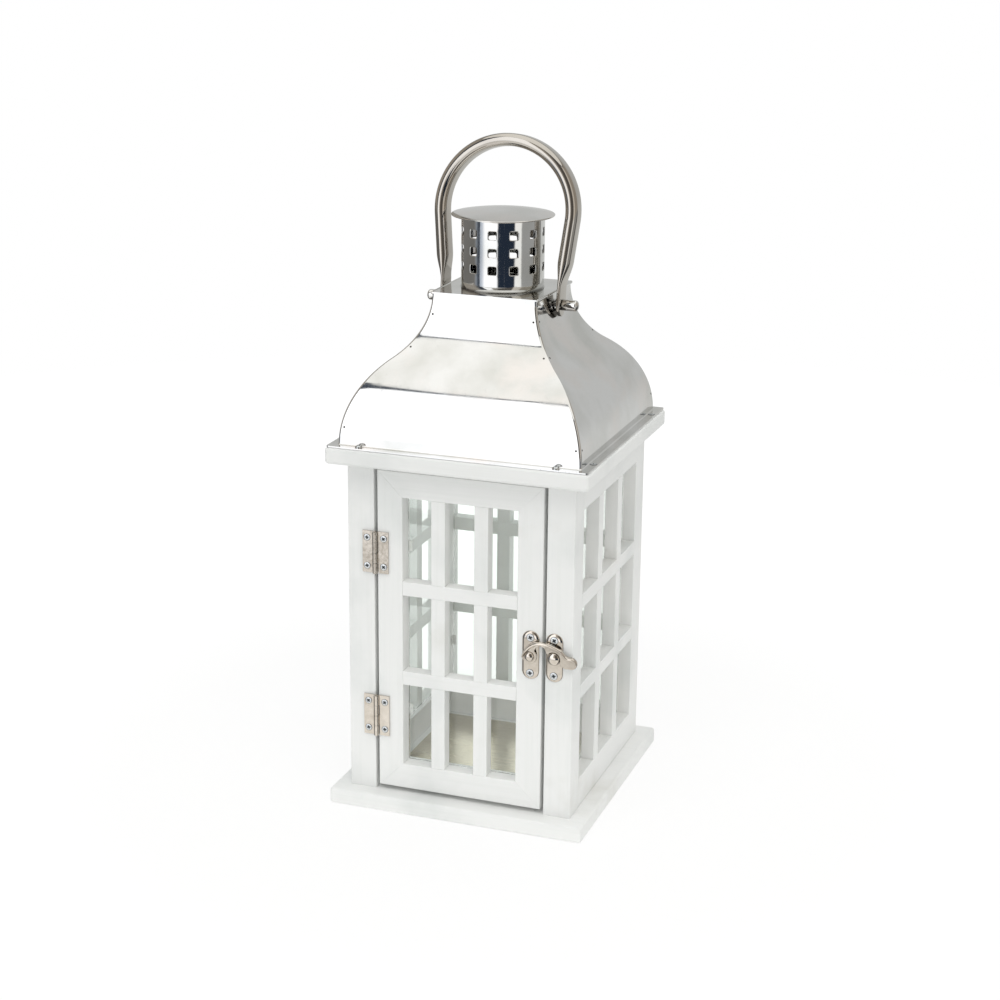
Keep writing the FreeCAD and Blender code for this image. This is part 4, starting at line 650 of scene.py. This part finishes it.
# Roof sides: four sheets of mirror-polished steel rolled to an S, mitred and spot welded at the hips.
# A narrow flange folded out at the foot is screwed down on the top board.
SHEET = 0.8
ROOF_FOOT, ROOF_TOP = 210.5, 290.0
FLANGE_HALF, EAVES_HALF, NECK_HALF = 74.2, 69.2, 30.0
CURVE_RUN, CURVE_RISE = EAVES_HALF - NECK_HALF, ROOF_TOP - ROOF_FOOT - SHEET
NECK_RADIUS = 42.0
EAVES_RADIUS = (CURVE_RUN ** 2 + CURVE_RISE ** 2) / (2 * CURVE_RUN) - NECK_RADIUS
CURVE_TURN = 2 * np.arctan(CURVE_RUN / CURVE_RISE)
CURVE_STEPS = 40
FOLD_ROUND, FOLD_TURN = 0.8, np.radians(np.linspace(-90, -180, 5))
HIP_ROUND, HIP_TURN = 1.3, np.radians([45, 30, 15, 0])
PANEL_COLUMNS = 25
POLISH = (0.65, 0.65, 0.625, 1), (0.79, 0.79, 0.785, 1)
POLISH_CLOUDS, POLISH_LIMITS = (24, 6), (0.36, 0.58)
WARM_HAZE, HAZE_MOST = (0.79, 0.755, 0.73, 1), 0.8
HAZE_CLOUDS, HAZE_LIMITS = (33, 4, (1, 1, 1.4)), (0.5, 0.66)
SCRATCHES, SCRATCH_MOST, SCRATCH_LIMITS = (1, 3, (900, 900, 30)), 0.12, (0.62, 0.72)
SMEARS, SMEAR_ROUGHNESS = (60, 6), (0.03, 0.12)
DENTS, DENT_STRENGTH, DENT_DEPTH = (13, 1), 1.0, 0.35
# Painted shade in the roof steel's corners: how far it reaches in millimetres, and how dark at most.
ROOF_CORNER_SHADE = 2.0, 0.6
WELD_HEIGHTS = (221.0, 262.0, 279.0)
WELD_INSET, WELD_RADIUS, WELD_RISE, WELD_FOOT = 2.6, 0.6, 0.16, -0.2
WELD_DOME_STEPS, WELD_STEPS = 6, 20
WELD_SCALE = (0.06, 0.055, 0.05, 1), (0.2, 0.19, 0.175, 1)
HEM_RADIUS, HEM_REACH, HEM_HALF, HEM_HEIGHT = 0.9, 30.2, 29.7, 290.2
HEM_ROUND = 0.98 * HEM_RADIUS
ROOF_SCREW, ROOF_SCREW_RISE, ROOF_SCREW_ALONG = 2.0, 1.5, 56.0


def roof_profile(thick):
    """S curve from the flange to the neck, this far inside the sheet: a fold, a round arc, a hollow arc."""
    fold = FOLD_ROUND + thick
    low_turn = np.linspace(np.arcsin(FOLD_ROUND / EAVES_RADIUS), CURVE_TURN, CURVE_STEPS)
    high_turn = np.linspace(np.pi + CURVE_TURN, np.pi, CURVE_STEPS)[1:]
    foot = ROOF_FOOT + SHEET
    reach = np.r_[FLANGE_HALF, EAVES_HALF + FOLD_ROUND + fold * np.cos(FOLD_TURN),
                  EAVES_HALF - EAVES_RADIUS + (EAVES_RADIUS - thick) * np.cos(low_turn[1:]),
                  NECK_HALF + NECK_RADIUS + (NECK_RADIUS + thick) * np.cos(high_turn)]
    height = np.r_[foot - thick, foot + FOLD_ROUND + fold * np.sin(FOLD_TURN),
                   foot + (EAVES_RADIUS - thick) * np.sin(low_turn[1:]),
                   ROOF_TOP + (NECK_RADIUS + thick) * np.sin(high_turn)]
    return reach, height


def turned(points, quarter):
    """Points of the front side turned by quarters about the upright axis."""
    turn = quarter * np.pi / 2
    return points @ np.array([[np.cos(turn), np.sin(turn), 0], [-np.sin(turn), np.cos(turn), 0], [0, 0, 1]])


def roof_sheet(quarter):
    """Closed sheet: the outer and inner S curves carried across from hip to hip, then turned by quarters.

    At each hip the sheet bends round an eighth of a circle, to meet its neighbour on the mitre.
    """
    flat = np.linspace(-1, 1, PANEL_COLUMNS)[1:-1]
    bend, sink = HIP_ROUND * np.sin(HIP_TURN), HIP_ROUND * (1 - np.cos(HIP_TURN))
    share = np.r_[-np.ones_like(bend), flat, np.ones_like(bend)]
    hip_offset = np.r_[-bend, 0 * flat, bend[::-1]]
    hip_sink = np.r_[sink, 0 * flat, sink[::-1]]
    sides = []
    for thick in (0.0, SHEET):
        reach, height = (row[:, None] for row in roof_profile(thick))
        across = share * (reach - HIP_ROUND) + hip_offset
        sides.append(placed(across, hip_sink - reach, height))
    points = np.stack(sides)
    return turned(points, quarter).reshape(-1, 3), plate_faces(*points.shape[1:3])


def spot_weld(height, side, quarter):
    """Small low dome left by a spot weld, on the S curve a little in from one hip, square to the sheet."""
    reach, level = (row[1 + len(FOLD_TURN):] for row in roof_profile(0.0))
    out, out_above, out_below = np.interp([height, height + 0.5, height - 0.5], level, reach)
    slope = out_above - out_below
    upward = np.array([0, -slope, 1]) / np.hypot(slope, 1)
    outward = np.array([0, -1, -slope]) / np.hypot(slope, 1)
    over = quarter_turn(WELD_DOME_STEPS)
    points, faces = spun(np.r_[0, WELD_RADIUS * np.cos(over)],
                         np.r_[WELD_FOOT, WELD_FOOT, WELD_RISE * np.sin(over[1:])], WELD_STEPS)
    place = np.array([side * (out - WELD_INSET), -out, height])
    dome = place + points[:, :1] * np.array([1, 0, 0]) + points[:, 1:2] * upward + points[:, 2:] * outward
    return turned(dome, quarter), faces


mirror_steel = new_finish("mirror_steel", Metallic=1.0)
clear_polish = tinted(mirror_steel, mottle(mirror_steel, *POLISH_CLOUDS), *POLISH, *POLISH_LIMITS)
haze = spread(mirror_steel, mottle(mirror_steel, *HAZE_CLOUDS), 0.0, HAZE_MOST, *HAZE_LIMITS)
hazed_polish = blended(mirror_steel, haze, clear_polish, WARM_HAZE)
scratches = spread(mirror_steel, mottle(mirror_steel, *SCRATCHES), 0.0, SCRATCH_MOST, *SCRATCH_LIMITS)
smears = spread(mirror_steel, mottle(mirror_steel, *SMEARS), *SMEAR_ROUGHNESS)
# The polish takes painted shade in its corners.
coat(mirror_steel, Base_Color=corner_shaded(mirror_steel, hazed_polish, *ROOF_CORNER_SHADE),
     Roughness=calculate(mirror_steel, "ADD", scratches, smears))
raised(mirror_steel, mottle(mirror_steel, *DENTS), DENT_STRENGTH, DENT_DEPTH)
for quarter, side in enumerate(("front", "right", "back", "left")):
    add_piece(f"roof_{side}_sheet", roof_sheet(quarter), mirror_steel, "lantern", "polished_metal",
              f"roof_{side}_panel")

weld_scale = mottled_finish("weld_scale", WELD_SCALE, clouds=(900, 3), roughness=(0.35, 0.6), marks=(1500, 3),
                            Metallic=0.7)
add_piece("roof_spot_welds", together([spot_weld(height, side, quarter) for height in WELD_HEIGHTS
                                       for side in (-1, 1) for quarter in range(4)]),
          weld_scale, "lantern", "polished_metal")
hems = []
for side in (-1, 1):
    middle = np.array([side * HEM_REACH, 0, HEM_HEIGHT])
    half_hem = np.array([HEM_RADIUS, HEM_HALF, HEM_RADIUS])
    hems.append(planed_stick(middle - half_hem, middle + half_hem, 1, HEM_ROUND))
add_piece("roof_rolled_hems", together(hems), mirror_steel, "lantern", "polished_metal")
refinish(mirror_steel, "roof_top_plate")
flange_middle = (EAVES_HALF + FLANGE_HALF) / 2
heads = []
# Front and back heads stand taller with no painted shade at the rim; the side ones are low, with painted shade
# round the rim.
for quarter, (rise, outline) in enumerate(((ROOF_SCREW_RISE, 0.0), (SCREW_RISE, RIM_SHADE)) * 2):
    for side, turn in ((1, 0.4), (-1, 1.1)):
        points, faces, head_shade = cross_head(ROOF_SCREW, turn + quarter, rise, outline)
        place = np.array([side * ROOF_SCREW_ALONG, -flange_middle, ROOF_FOOT + SHEET])
        heads.append((turned(points + place, quarter), faces, head_shade))
add_heads("roof_screw_heads", heads, "lantern", "roof_screws")

# Chimney: a tube rolled from the same polished sheet, pierced by three rows of twelve square holes.
# It stands on the roof's top plate and carries the cap.
TUBE_RADIUS, TUBE_FOOT, TUBE_TOP = 22.9, 290.8, 331.1
HOLE_COLUMNS, HOLE_TURN = 12, np.radians(5)
HOLE_HEIGHTS = np.array([303.2, 312.75, 322.3])
HALF_PITCH = (HOLE_HEIGHTS[1] - HOLE_HEIGHTS[0]) / 2
HOLE_HALF, HOLE_ROUND, HOLE_STEPS = 2.4, 1.0, 4
TILE_SHARES = np.array([0, 0.5, 0.88, 1])
BAND_ROWS = 3


def pierced_tube():
    """Square tiles round a tube, each a ring of quads from the tile's border in to its round-cornered hole.

    A plain band stands below the tiles and another above them.
    """
    per_side = HOLE_STEPS + 1
    hole = np.stack(eased_outline(HOLE_HALF, HOLE_HALF, HOLE_ROUND, HOLE_STEPS), -1)
    step = (np.arange(4 * per_side) - HOLE_STEPS / 2) % (4 * per_side) / per_side
    corners = np.array([[1, 1], [-1, 1], [-1, -1], [1, -1], [1, 1]])
    corner, part = step.astype(int), (step % 1)[:, None]
    tile = corners[corner] * (1 - part) + corners[corner + 1] * part
    tile = tile * [np.pi * TUBE_RADIUS / HOLE_COLUMNS, HALF_PITCH]
    share = TILE_SHARES[:, None, None]
    ring = tile * (1 - share) + hole * share
    column = HOLE_TURN + np.arange(HOLE_COLUMNS) * 2 * np.pi / HOLE_COLUMNS
    angle = column[None, :, None, None] + ring[None, None, ..., 0] / TUBE_RADIUS
    height = HOLE_HEIGHTS[:, None, None, None] + ring[None, None, ..., 1]
    tiles = placed(TUBE_RADIUS * np.cos(angle), TUBE_RADIUS * np.sin(angle), height)
    quads = grid_faces(len(share), 4 * per_side, wrapped=True)
    count = len(HOLE_HEIGHTS) * HOLE_COLUMNS
    faces = (quads[None] + np.arange(count)[:, None, None] * ring.shape[0] * ring.shape[1]).reshape(-1, 4)
    shapes = [(tiles.reshape(-1, 3), faces)]
    around = HOLE_TURN + (np.arange(HOLE_COLUMNS * per_side) / per_side - 0.5) * 2 * np.pi / HOLE_COLUMNS
    for foot, head in ((TUBE_FOOT, HOLE_HEIGHTS[0] - HALF_PITCH), (HOLE_HEIGHTS[-1] + HALF_PITCH, TUBE_TOP)):
        level = np.linspace(foot, head, BAND_ROWS)[:, None]
        shapes.append(carried(placed(TUBE_RADIUS * np.cos(around), TUBE_RADIUS * np.sin(around), level)))
    return together(shapes)


tube = add_piece("chimney_tube_pierced", pierced_tube(), mirror_steel, "lantern", "polished_metal",
                 "chimney_tube", flats=False)
wall = tube.modifiers.new("sheet_wall", "SOLIDIFY")
wall.thickness = SHEET * MM
wall.offset = -1.0
wall.use_even_offset = True

# Chimney cap: a shallow dome spun from the same sheet, its thin edge left standing out past the tube.
# It is pressed on the tube's upper end.
CAP_RADIUS, CAP_RISE, CAP_TOP = 28.4, 2.8, 333.77
CAP_STEPS = 24
CAP_EDGE_TURN = np.radians(np.linspace(-90, 90, 9))


def spun_dome():
    """Section of the cap: inner dome from the middle out, half round the edge, and back over the top."""
    sphere = (CAP_RADIUS ** 2 + CAP_RISE ** 2) / (2 * CAP_RISE)
    rim = CAP_RADIUS - SHEET / 2
    out = np.linspace(0, rim, CAP_STEPS)
    below, above = (CAP_TOP - sphere + np.sqrt((sphere - thick) ** 2 - out ** 2) for thick in (SHEET, 0.0))
    edge = (below[-1] + above[-1]) / 2 + SHEET / 2 * np.sin(CAP_EDGE_TURN)
    return spun(np.r_[out[:-1], rim + SHEET / 2 * np.cos(CAP_EDGE_TURN), out[-2::-1]],
                np.r_[below[:-1], edge, above[-2::-1]])


add_piece("chimney_cap_spun", spun_dome(), mirror_steel, "lantern", "polished_metal", "chimney_cap")

# Handle bolts: a bolt through each side of the neck, with a plain spacer and a domed nut outside.
# The handle's flat ends turn on them.
PIVOT_HEIGHT = 283.0
NUT_START, NUT_RADIUS, NUT_LENGTH, NUT_DOME, NUT_CHAMFER = 35.01, 3.0, 7.4, 1.8, 0.3


def domed_nut(side):
    """Plain round nut with a domed end, spun about the bolt and set on one side of the neck."""
    points, faces = domed_stub(NUT_RADIUS, NUT_LENGTH, NUT_DOME, chamfer=NUT_CHAMFER)
    across, up, out = points.T
    return placed(side * (NUT_START + out), side * across, PIVOT_HEIGHT + up), faces


refinish(mirror_steel, "handle_bolts", "handle_spacers")
add_piece("handle_nuts_domed", together([domed_nut(1), domed_nut(-1)]), mirror_steel, "lantern",
          "polished_metal", "handle_nuts", flats=False)

# Handle: a length of oval stainless tube bent to an arch and polished, its ends pressed flat and drilled.
# It hangs on the two bolts and swings to front and back.
LUG_MIDDLE, LUG_TOP = 33.86, 293.0
LUG_HALF_WIDTH, LUG_HALF_DEPTH = 6.3, 1.0
TUBE_HALF_WIDTH, TUBE_HALF_DEPTH = 6.5, 3.5
PRESS_LENGTH = 14.0
ARCH_CENTRE, ARCH_RADIUS = 332.5, 37.9
REST_LEAN = np.radians(8)
LEG_DROP = ARCH_CENTRE - LUG_TOP
LEG_LEAN = np.arctan2(LEG_DROP, LUG_MIDDLE) - np.arccos(ARCH_RADIUS / np.hypot(LUG_MIDDLE, LEG_DROP))
FOOT_ROWS, LUG_ROWS, LEG_ROWS, ARCH_ROWS = 14, 6, 40, 60
OVAL_STEPS = 7
# The handle's two tints, then painted shade in its corners: reach in millimetres and how dark at most.
HANDLE_TINTS, HANDLE_CORNER_SHADE = ((0.47, 0.44, 0.4, 1), (0.55, 0.52, 0.475, 1)), (4.0, 0.75)


def bent_handle():
    """Oval section carried up a flat end, a leaning leg and half the arch, then mirrored down the other side.

    Its depth grows from the flat end to the tube along a smooth step; its width closes to a round foot.
    The whole is leaned to the back about the bolts.
    """
    foot = np.sin(np.linspace(-np.pi / 2, 0, FOOT_ROWS))[:-1] * LUG_HALF_WIDTH + PIVOT_HEIGHT
    lug = np.r_[foot, np.linspace(PIVOT_HEIGHT, LUG_TOP, LUG_ROWS)[:-1]]
    leg_end = np.array([ARCH_RADIUS * np.cos(LEG_LEAN), ARCH_CENTRE - ARCH_RADIUS * np.sin(LEG_LEAN)])
    leg = np.linspace(0, 1, LEG_ROWS)[:-1]
    arch_turn = np.linspace(-LEG_LEAN, np.pi / 2, ARCH_ROWS)
    across = np.r_[np.full(len(lug), LUG_MIDDLE), LUG_MIDDLE + leg * (leg_end[0] - LUG_MIDDLE),
                   ARCH_RADIUS * np.cos(arch_turn)]
    up = np.r_[lug, LUG_TOP + leg * (leg_end[1] - LUG_TOP), ARCH_CENTRE + ARCH_RADIUS * np.sin(arch_turn)]
    lean = np.r_[np.zeros(len(lug)), np.full(len(leg), -LEG_LEAN), arch_turn]
    pressed = np.clip((up - LUG_TOP) / PRESS_LENGTH, 0, 1)
    pressed = pressed * pressed * (3 - 2 * pressed)
    depth = LUG_HALF_DEPTH + (TUBE_HALF_DEPTH - LUG_HALF_DEPTH) * pressed
    below = np.clip(PIVOT_HEIGHT - up, 0, LUG_HALF_WIDTH)
    width = np.sqrt(LUG_HALF_WIDTH ** 2 - below ** 2) + (TUBE_HALF_WIDTH - LUG_HALF_WIDTH) * pressed
    across, up, lean, depth, width = (
        np.r_[row, flip * row[-2::-1] + turn][:, None] for row, flip, turn in
        ((across, -1, 0), (up, 1, 0), (lean, -1, np.pi), (depth, 1, 0), (width, 1, 0)))
    out, side = eased_outline(depth, width, np.minimum(depth, width), OVAL_STEPS)
    above = up + out * np.sin(lean) - PIVOT_HEIGHT
    return carried(placed(across + out * np.cos(lean), side * np.cos(REST_LEAN) + above * np.sin(REST_LEAN),
                          PIVOT_HEIGHT + above * np.cos(REST_LEAN) - side * np.sin(REST_LEAN)))


# The handle's colour takes painted shade in its corners.
handle_steel = mottled_finish(
    "handle_steel", HANDLE_TINTS, clouds=(28, 4), limits=(0.32, 0.66), roughness=(0.05, 0.1), marks=(60, 4),
    over=lambda material, tint: corner_shaded(material, tint, *HANDLE_CORNER_SHADE), Metallic=1.0)
add_piece("handle_bent", bent_handle(), handle_steel, "handle", "polished_metal", "handle", flats=False)

# Studio: a round pale floor that sends some light up at the lantern's foot, even light that is stronger from
# behind, three soft lamps in front, and the camera. Polished metal sees light walls with a dark gap at the
# camera, a warm room above them, grey sides and a pale ceiling.
FLOOR_RADIUS = 1.1
PAPER_COLOUR, PAPER_WHITE = (0.8, 0.8, 0.79, 1), 1.06
GLASS_LOSS = 1.34
SHADOW_RADIUS, SHADOW_LIMITS, SHADOW_WHITE = 0.55, (0.0, 0.6), 0.76
FLOOR_BOUNCE, BOUNCE_LIMITS = 0.36, (0.15, 0.6)
studio = bpy.context.scene
studio.view_settings.view_transform = "Standard"

floor_mesh = bpy.data.meshes.new("studio_floor")
floor_mesh.from_pydata(spun([FLOOR_RADIUS], [0.0])[0].tolist(), [], [list(range(LATHE_STEPS))])
floor = bpy.data.objects.new("studio_floor", floor_mesh)
floor.visible_glossy = False
studio.collection.objects.link(floor)
paper = bpy.data.materials.new("studio_floor_paper")
paper.use_nodes = True
paper.node_tree.nodes.clear()
matt = new_node(paper, "BsdfDiffuse", Color=PAPER_COLOUR).outputs["BSDF"]
paper_ray = new_node(paper, "LightPath").outputs
paper_place = new_node(paper, "Mapping", Vector=new_node(paper, "TexCoord").outputs["Object"],
                       Scale=(1 / SHADOW_RADIUS,) * 3)
nearness = new_node(paper, "TexGradient", Vector=paper_place.outputs["Vector"])
nearness.gradient_type = "SPHERICAL"
near = nearness.outputs["Fac"]
through_glass = spread(paper, paper_ray["Is Transmission Ray"], PAPER_WHITE, GLASS_LOSS, 0.0, 1.0)
glow = new_node(paper, "Emission", Strength=through_glass).outputs["Emission"]
seen_paper = overlaid(paper, spread(paper, near, 1.0, SHADOW_WHITE, *SHADOW_LIMITS), matt, glow)
bounce = new_node(paper, "Emission", Strength=spread(paper, near, 0.0, FLOOR_BOUNCE, *BOUNCE_LIMITS))
lit_paper = new_node(paper, "AddShader", matt, bounce.outputs["Emission"]).outputs["Shader"]
looked_at = calculate(paper, "MAXIMUM", paper_ray["Is Camera Ray"], paper_ray["Is Transmission Ray"])
new_node(paper, "OutputMaterial", Surface=overlaid(paper, looked_at, lit_paper, seen_paper))
floor_mesh.materials.append(paper)

world = bpy.data.worlds.new("studio_light")
world.use_nodes = True
world.node_tree.nodes.clear()
studio.world = world


def between(angle, start, end, soft):
    """One where an angle lies between two others, in degrees, with soft edges."""
    inside = []
    for edge, outside, within in ((start, 0.0, 1.0), (end, 1.0, 0.0)):
        ranged = new_node(world, "MapRange", angle, edge - soft, edge + soft, outside, within)
        ranged.interpolation_type = "SMOOTHSTEP"
        inside.append(ranged.outputs["Result"])
    return calculate(world, "MULTIPLY", *inside)


WEDGE_START, WEDGE_SLOPE = -32.6, 4.4
SAG_MIDDLE, SAG_HALF, SAG_DEPTH = -32.3, 4.6, 2.4
heading = new_node(world, "SeparateXYZ", Vector=new_node(world, "TexCoord").outputs["Generated"]).outputs
elevation = calculate(world, "DEGREES", calculate(world, "ARCSINE", heading["Z"]))
azimuth = calculate(world, "DEGREES", calculate(
    world, "ARCTAN2", heading["X"], calculate(world, "MULTIPLY", heading["Y"], -1.0)))
past_wedge = calculate(world, "MAXIMUM", calculate(world, "SUBTRACT", WEDGE_START, azimuth))
from_sag = calculate(world, "DIVIDE", calculate(world, "SUBTRACT", azimuth, SAG_MIDDLE), SAG_HALF)
sag = calculate(world, "SUBTRACT", 1.0, calculate(world, "MULTIPLY", from_sag, from_sag))
sag = calculate(world, "MULTIPLY", calculate(world, "MAXIMUM", sag), SAG_DEPTH)
sagging = calculate(world, "ADD", elevation, sag)
lifted = calculate(world, "ADD", sagging, calculate(world, "MULTIPLY", past_wedge, WEDGE_SLOPE))
SIDES, WALLS, ROOM, TABLE = (-90, 50, 4), (-90, 49, 0.4), (-2, 49, 2), (-91, -17, 0.8)
seen_in_metal = (0.58, 0.585, 0.575, 1)
for colour, sides, height, levels in (
    ((0.68, 0.685, 0.67), (-181, 181, 1), elevation, (-91, -4, 7)),  # ground all round
    ((0.19, 0.185, 0.175), (-138, -60, 9), elevation, SIDES),  # left side
    ((0.4, 0.4, 0.395), (72, 118, 4), elevation, SIDES),  # right side
    ((0.15, 0.145, 0.14), (118, 146, 3), elevation, (-90, -3, 3)),  # corner behind it
    ((0.62, 0.68, 0.78), (-60, -30, 3), elevation, WALLS),  # left wall's cool edge
    ((1.4, 1.42, 1.46), (-36, 6, 6), elevation, WALLS),  # left wall
    ((1.12, 1.12, 1.1), (52, 72, 2), elevation, WALLS),  # right wall
    ((0.02, 0.03, 0.05), (6, 52, 2.5), elevation, WALLS),  # gap at the camera
    ((0.44, 0.4, 0.35), (-130, 140, 6), elevation, ROOM),  # room above the walls
    ((1.6, 1.61, 1.64), (-42, -10, 2), elevation, (-6, 49, 0.4)),  # bright panel
    ((0.45, 0.42, 0.38), (-10, 8, 2.5), elevation, ROOM),  # wall beside the panel
    ((0.13, 0.12, 0.11), (5, 50, 3), elevation, ROOM),  # dark above the camera
    ((0.85, 0.8, 0.73), (50, 75, 3), elevation, ROOM),  # pale wall on the right
    ((0.6, 0.59, 0.57), (-60, 57, 3), elevation, TABLE),  # table's far edge
    ((1.05, 1.04, 1.01), (-60, 57, 3), elevation, (-91, -20.8, 2.5)),  # table
    ((0.1, 0.1, 0.1), (57, 150, 4), elevation, TABLE),  # past the table's end
    ((0.07, 0.085, 0.11), (-60, 120, 10), lifted, (48.7, 200, 0.5)),  # line below the ceiling
    ((1.2, 1.19, 1.15), (-181, 181, 1), sagging, (50.4, 120, 0.5)),  # ceiling
):
    shape = calculate(world, "MULTIPLY", between(azimuth, *sides), between(height, *levels))
    seen_in_metal = blended(world, shape, seen_in_metal, (*colour, 1))

EVEN_COLOUR, EVEN_FRONT, EVEN_BACK, EVEN_LIMITS = (0.99, 1.0, 1.0, 1), 0.63, 0.96, (-0.1, 0.7)


def backdrop(colour, strength):
    """Light of a colour and strength from all round."""
    return new_node(world, "Background", Color=colour, Strength=strength).outputs["Background"]


ray = new_node(world, "LightPath").outputs
even = backdrop(EVEN_COLOUR, spread(world, heading["Y"], EVEN_FRONT, EVEN_BACK, *EVEN_LIMITS))
white = backdrop((1, 1, 1, 1), spread(world, ray["Is Transmission Ray"], 1.0, GLASS_LOSS, 0.0, 1.0))
looked_at = calculate(world, "MAXIMUM", ray["Is Camera Ray"], ray["Is Transmission Ray"])
unseen = overlaid(world, ray["Is Glossy Ray"], even, backdrop(seen_in_metal, 1.0))
new_node(world, "OutputWorld", Surface=overlaid(world, looked_at, unseen, white))

LAMP_AIM, LAMP_SIZE = Vector((0, 0, 0.18)), 1.2
for name, place, watts, tint in (
    ("left_lamp", (-0.7, -1.5, 1.0), 2.0, (0.97, 0.985, 1.0)),
    ("right_lamp", (0.9, -0.9, 1.6), 6.0, (1.0, 0.955, 0.87)),
    ("top_lamp", (0.0, -0.9, 2.0), 9.0, (0.98, 0.995, 1.0)),
):
    light = bpy.data.lights.new(name, "AREA")
    light.energy = watts
    light.color = tint
    light.shape = "DISK"
    light.size = LAMP_SIZE
    lamp = bpy.data.objects.new(name, light)
    lamp.matrix_world = Matrix.LocRotScale(
        Vector(place), (LAMP_AIM - Vector(place)).to_track_quat("-Z", "Y"), None)
    lamp.visible_glossy = False
    studio.collection.objects.link(lamp)

CAMERA_PLACE = Vector((0.3758, -1.0556, 0.5098))
LOOK_TURN, LOOK_DOWN, LOOK_ROLL = np.radians((19.61, 16.98, 0.55))
LENS, SENSOR_WIDTH = 74.24, 36.0
flat = np.cos(LOOK_DOWN)
ahead = Vector((-np.sin(LOOK_TURN) * flat, np.cos(LOOK_TURN) * flat, -np.sin(LOOK_DOWN)))
level = Vector((np.cos(LOOK_TURN), np.sin(LOOK_TURN), 0))
upright = level.cross(ahead)
right = np.cos(LOOK_ROLL) * level + np.sin(LOOK_ROLL) * upright
above = np.cos(LOOK_ROLL) * upright - np.sin(LOOK_ROLL) * level
lens = bpy.data.cameras.new("camera")
lens.lens = LENS
lens.sensor_width = SENSOR_WIDTH
camera = bpy.data.objects.new("camera", lens)
camera.matrix_world = Matrix((right, above, -ahead)).transposed().to_4x4()
camera.location = CAMERA_PLACE
studio.collection.objects.link(camera)
studio.camera = camera
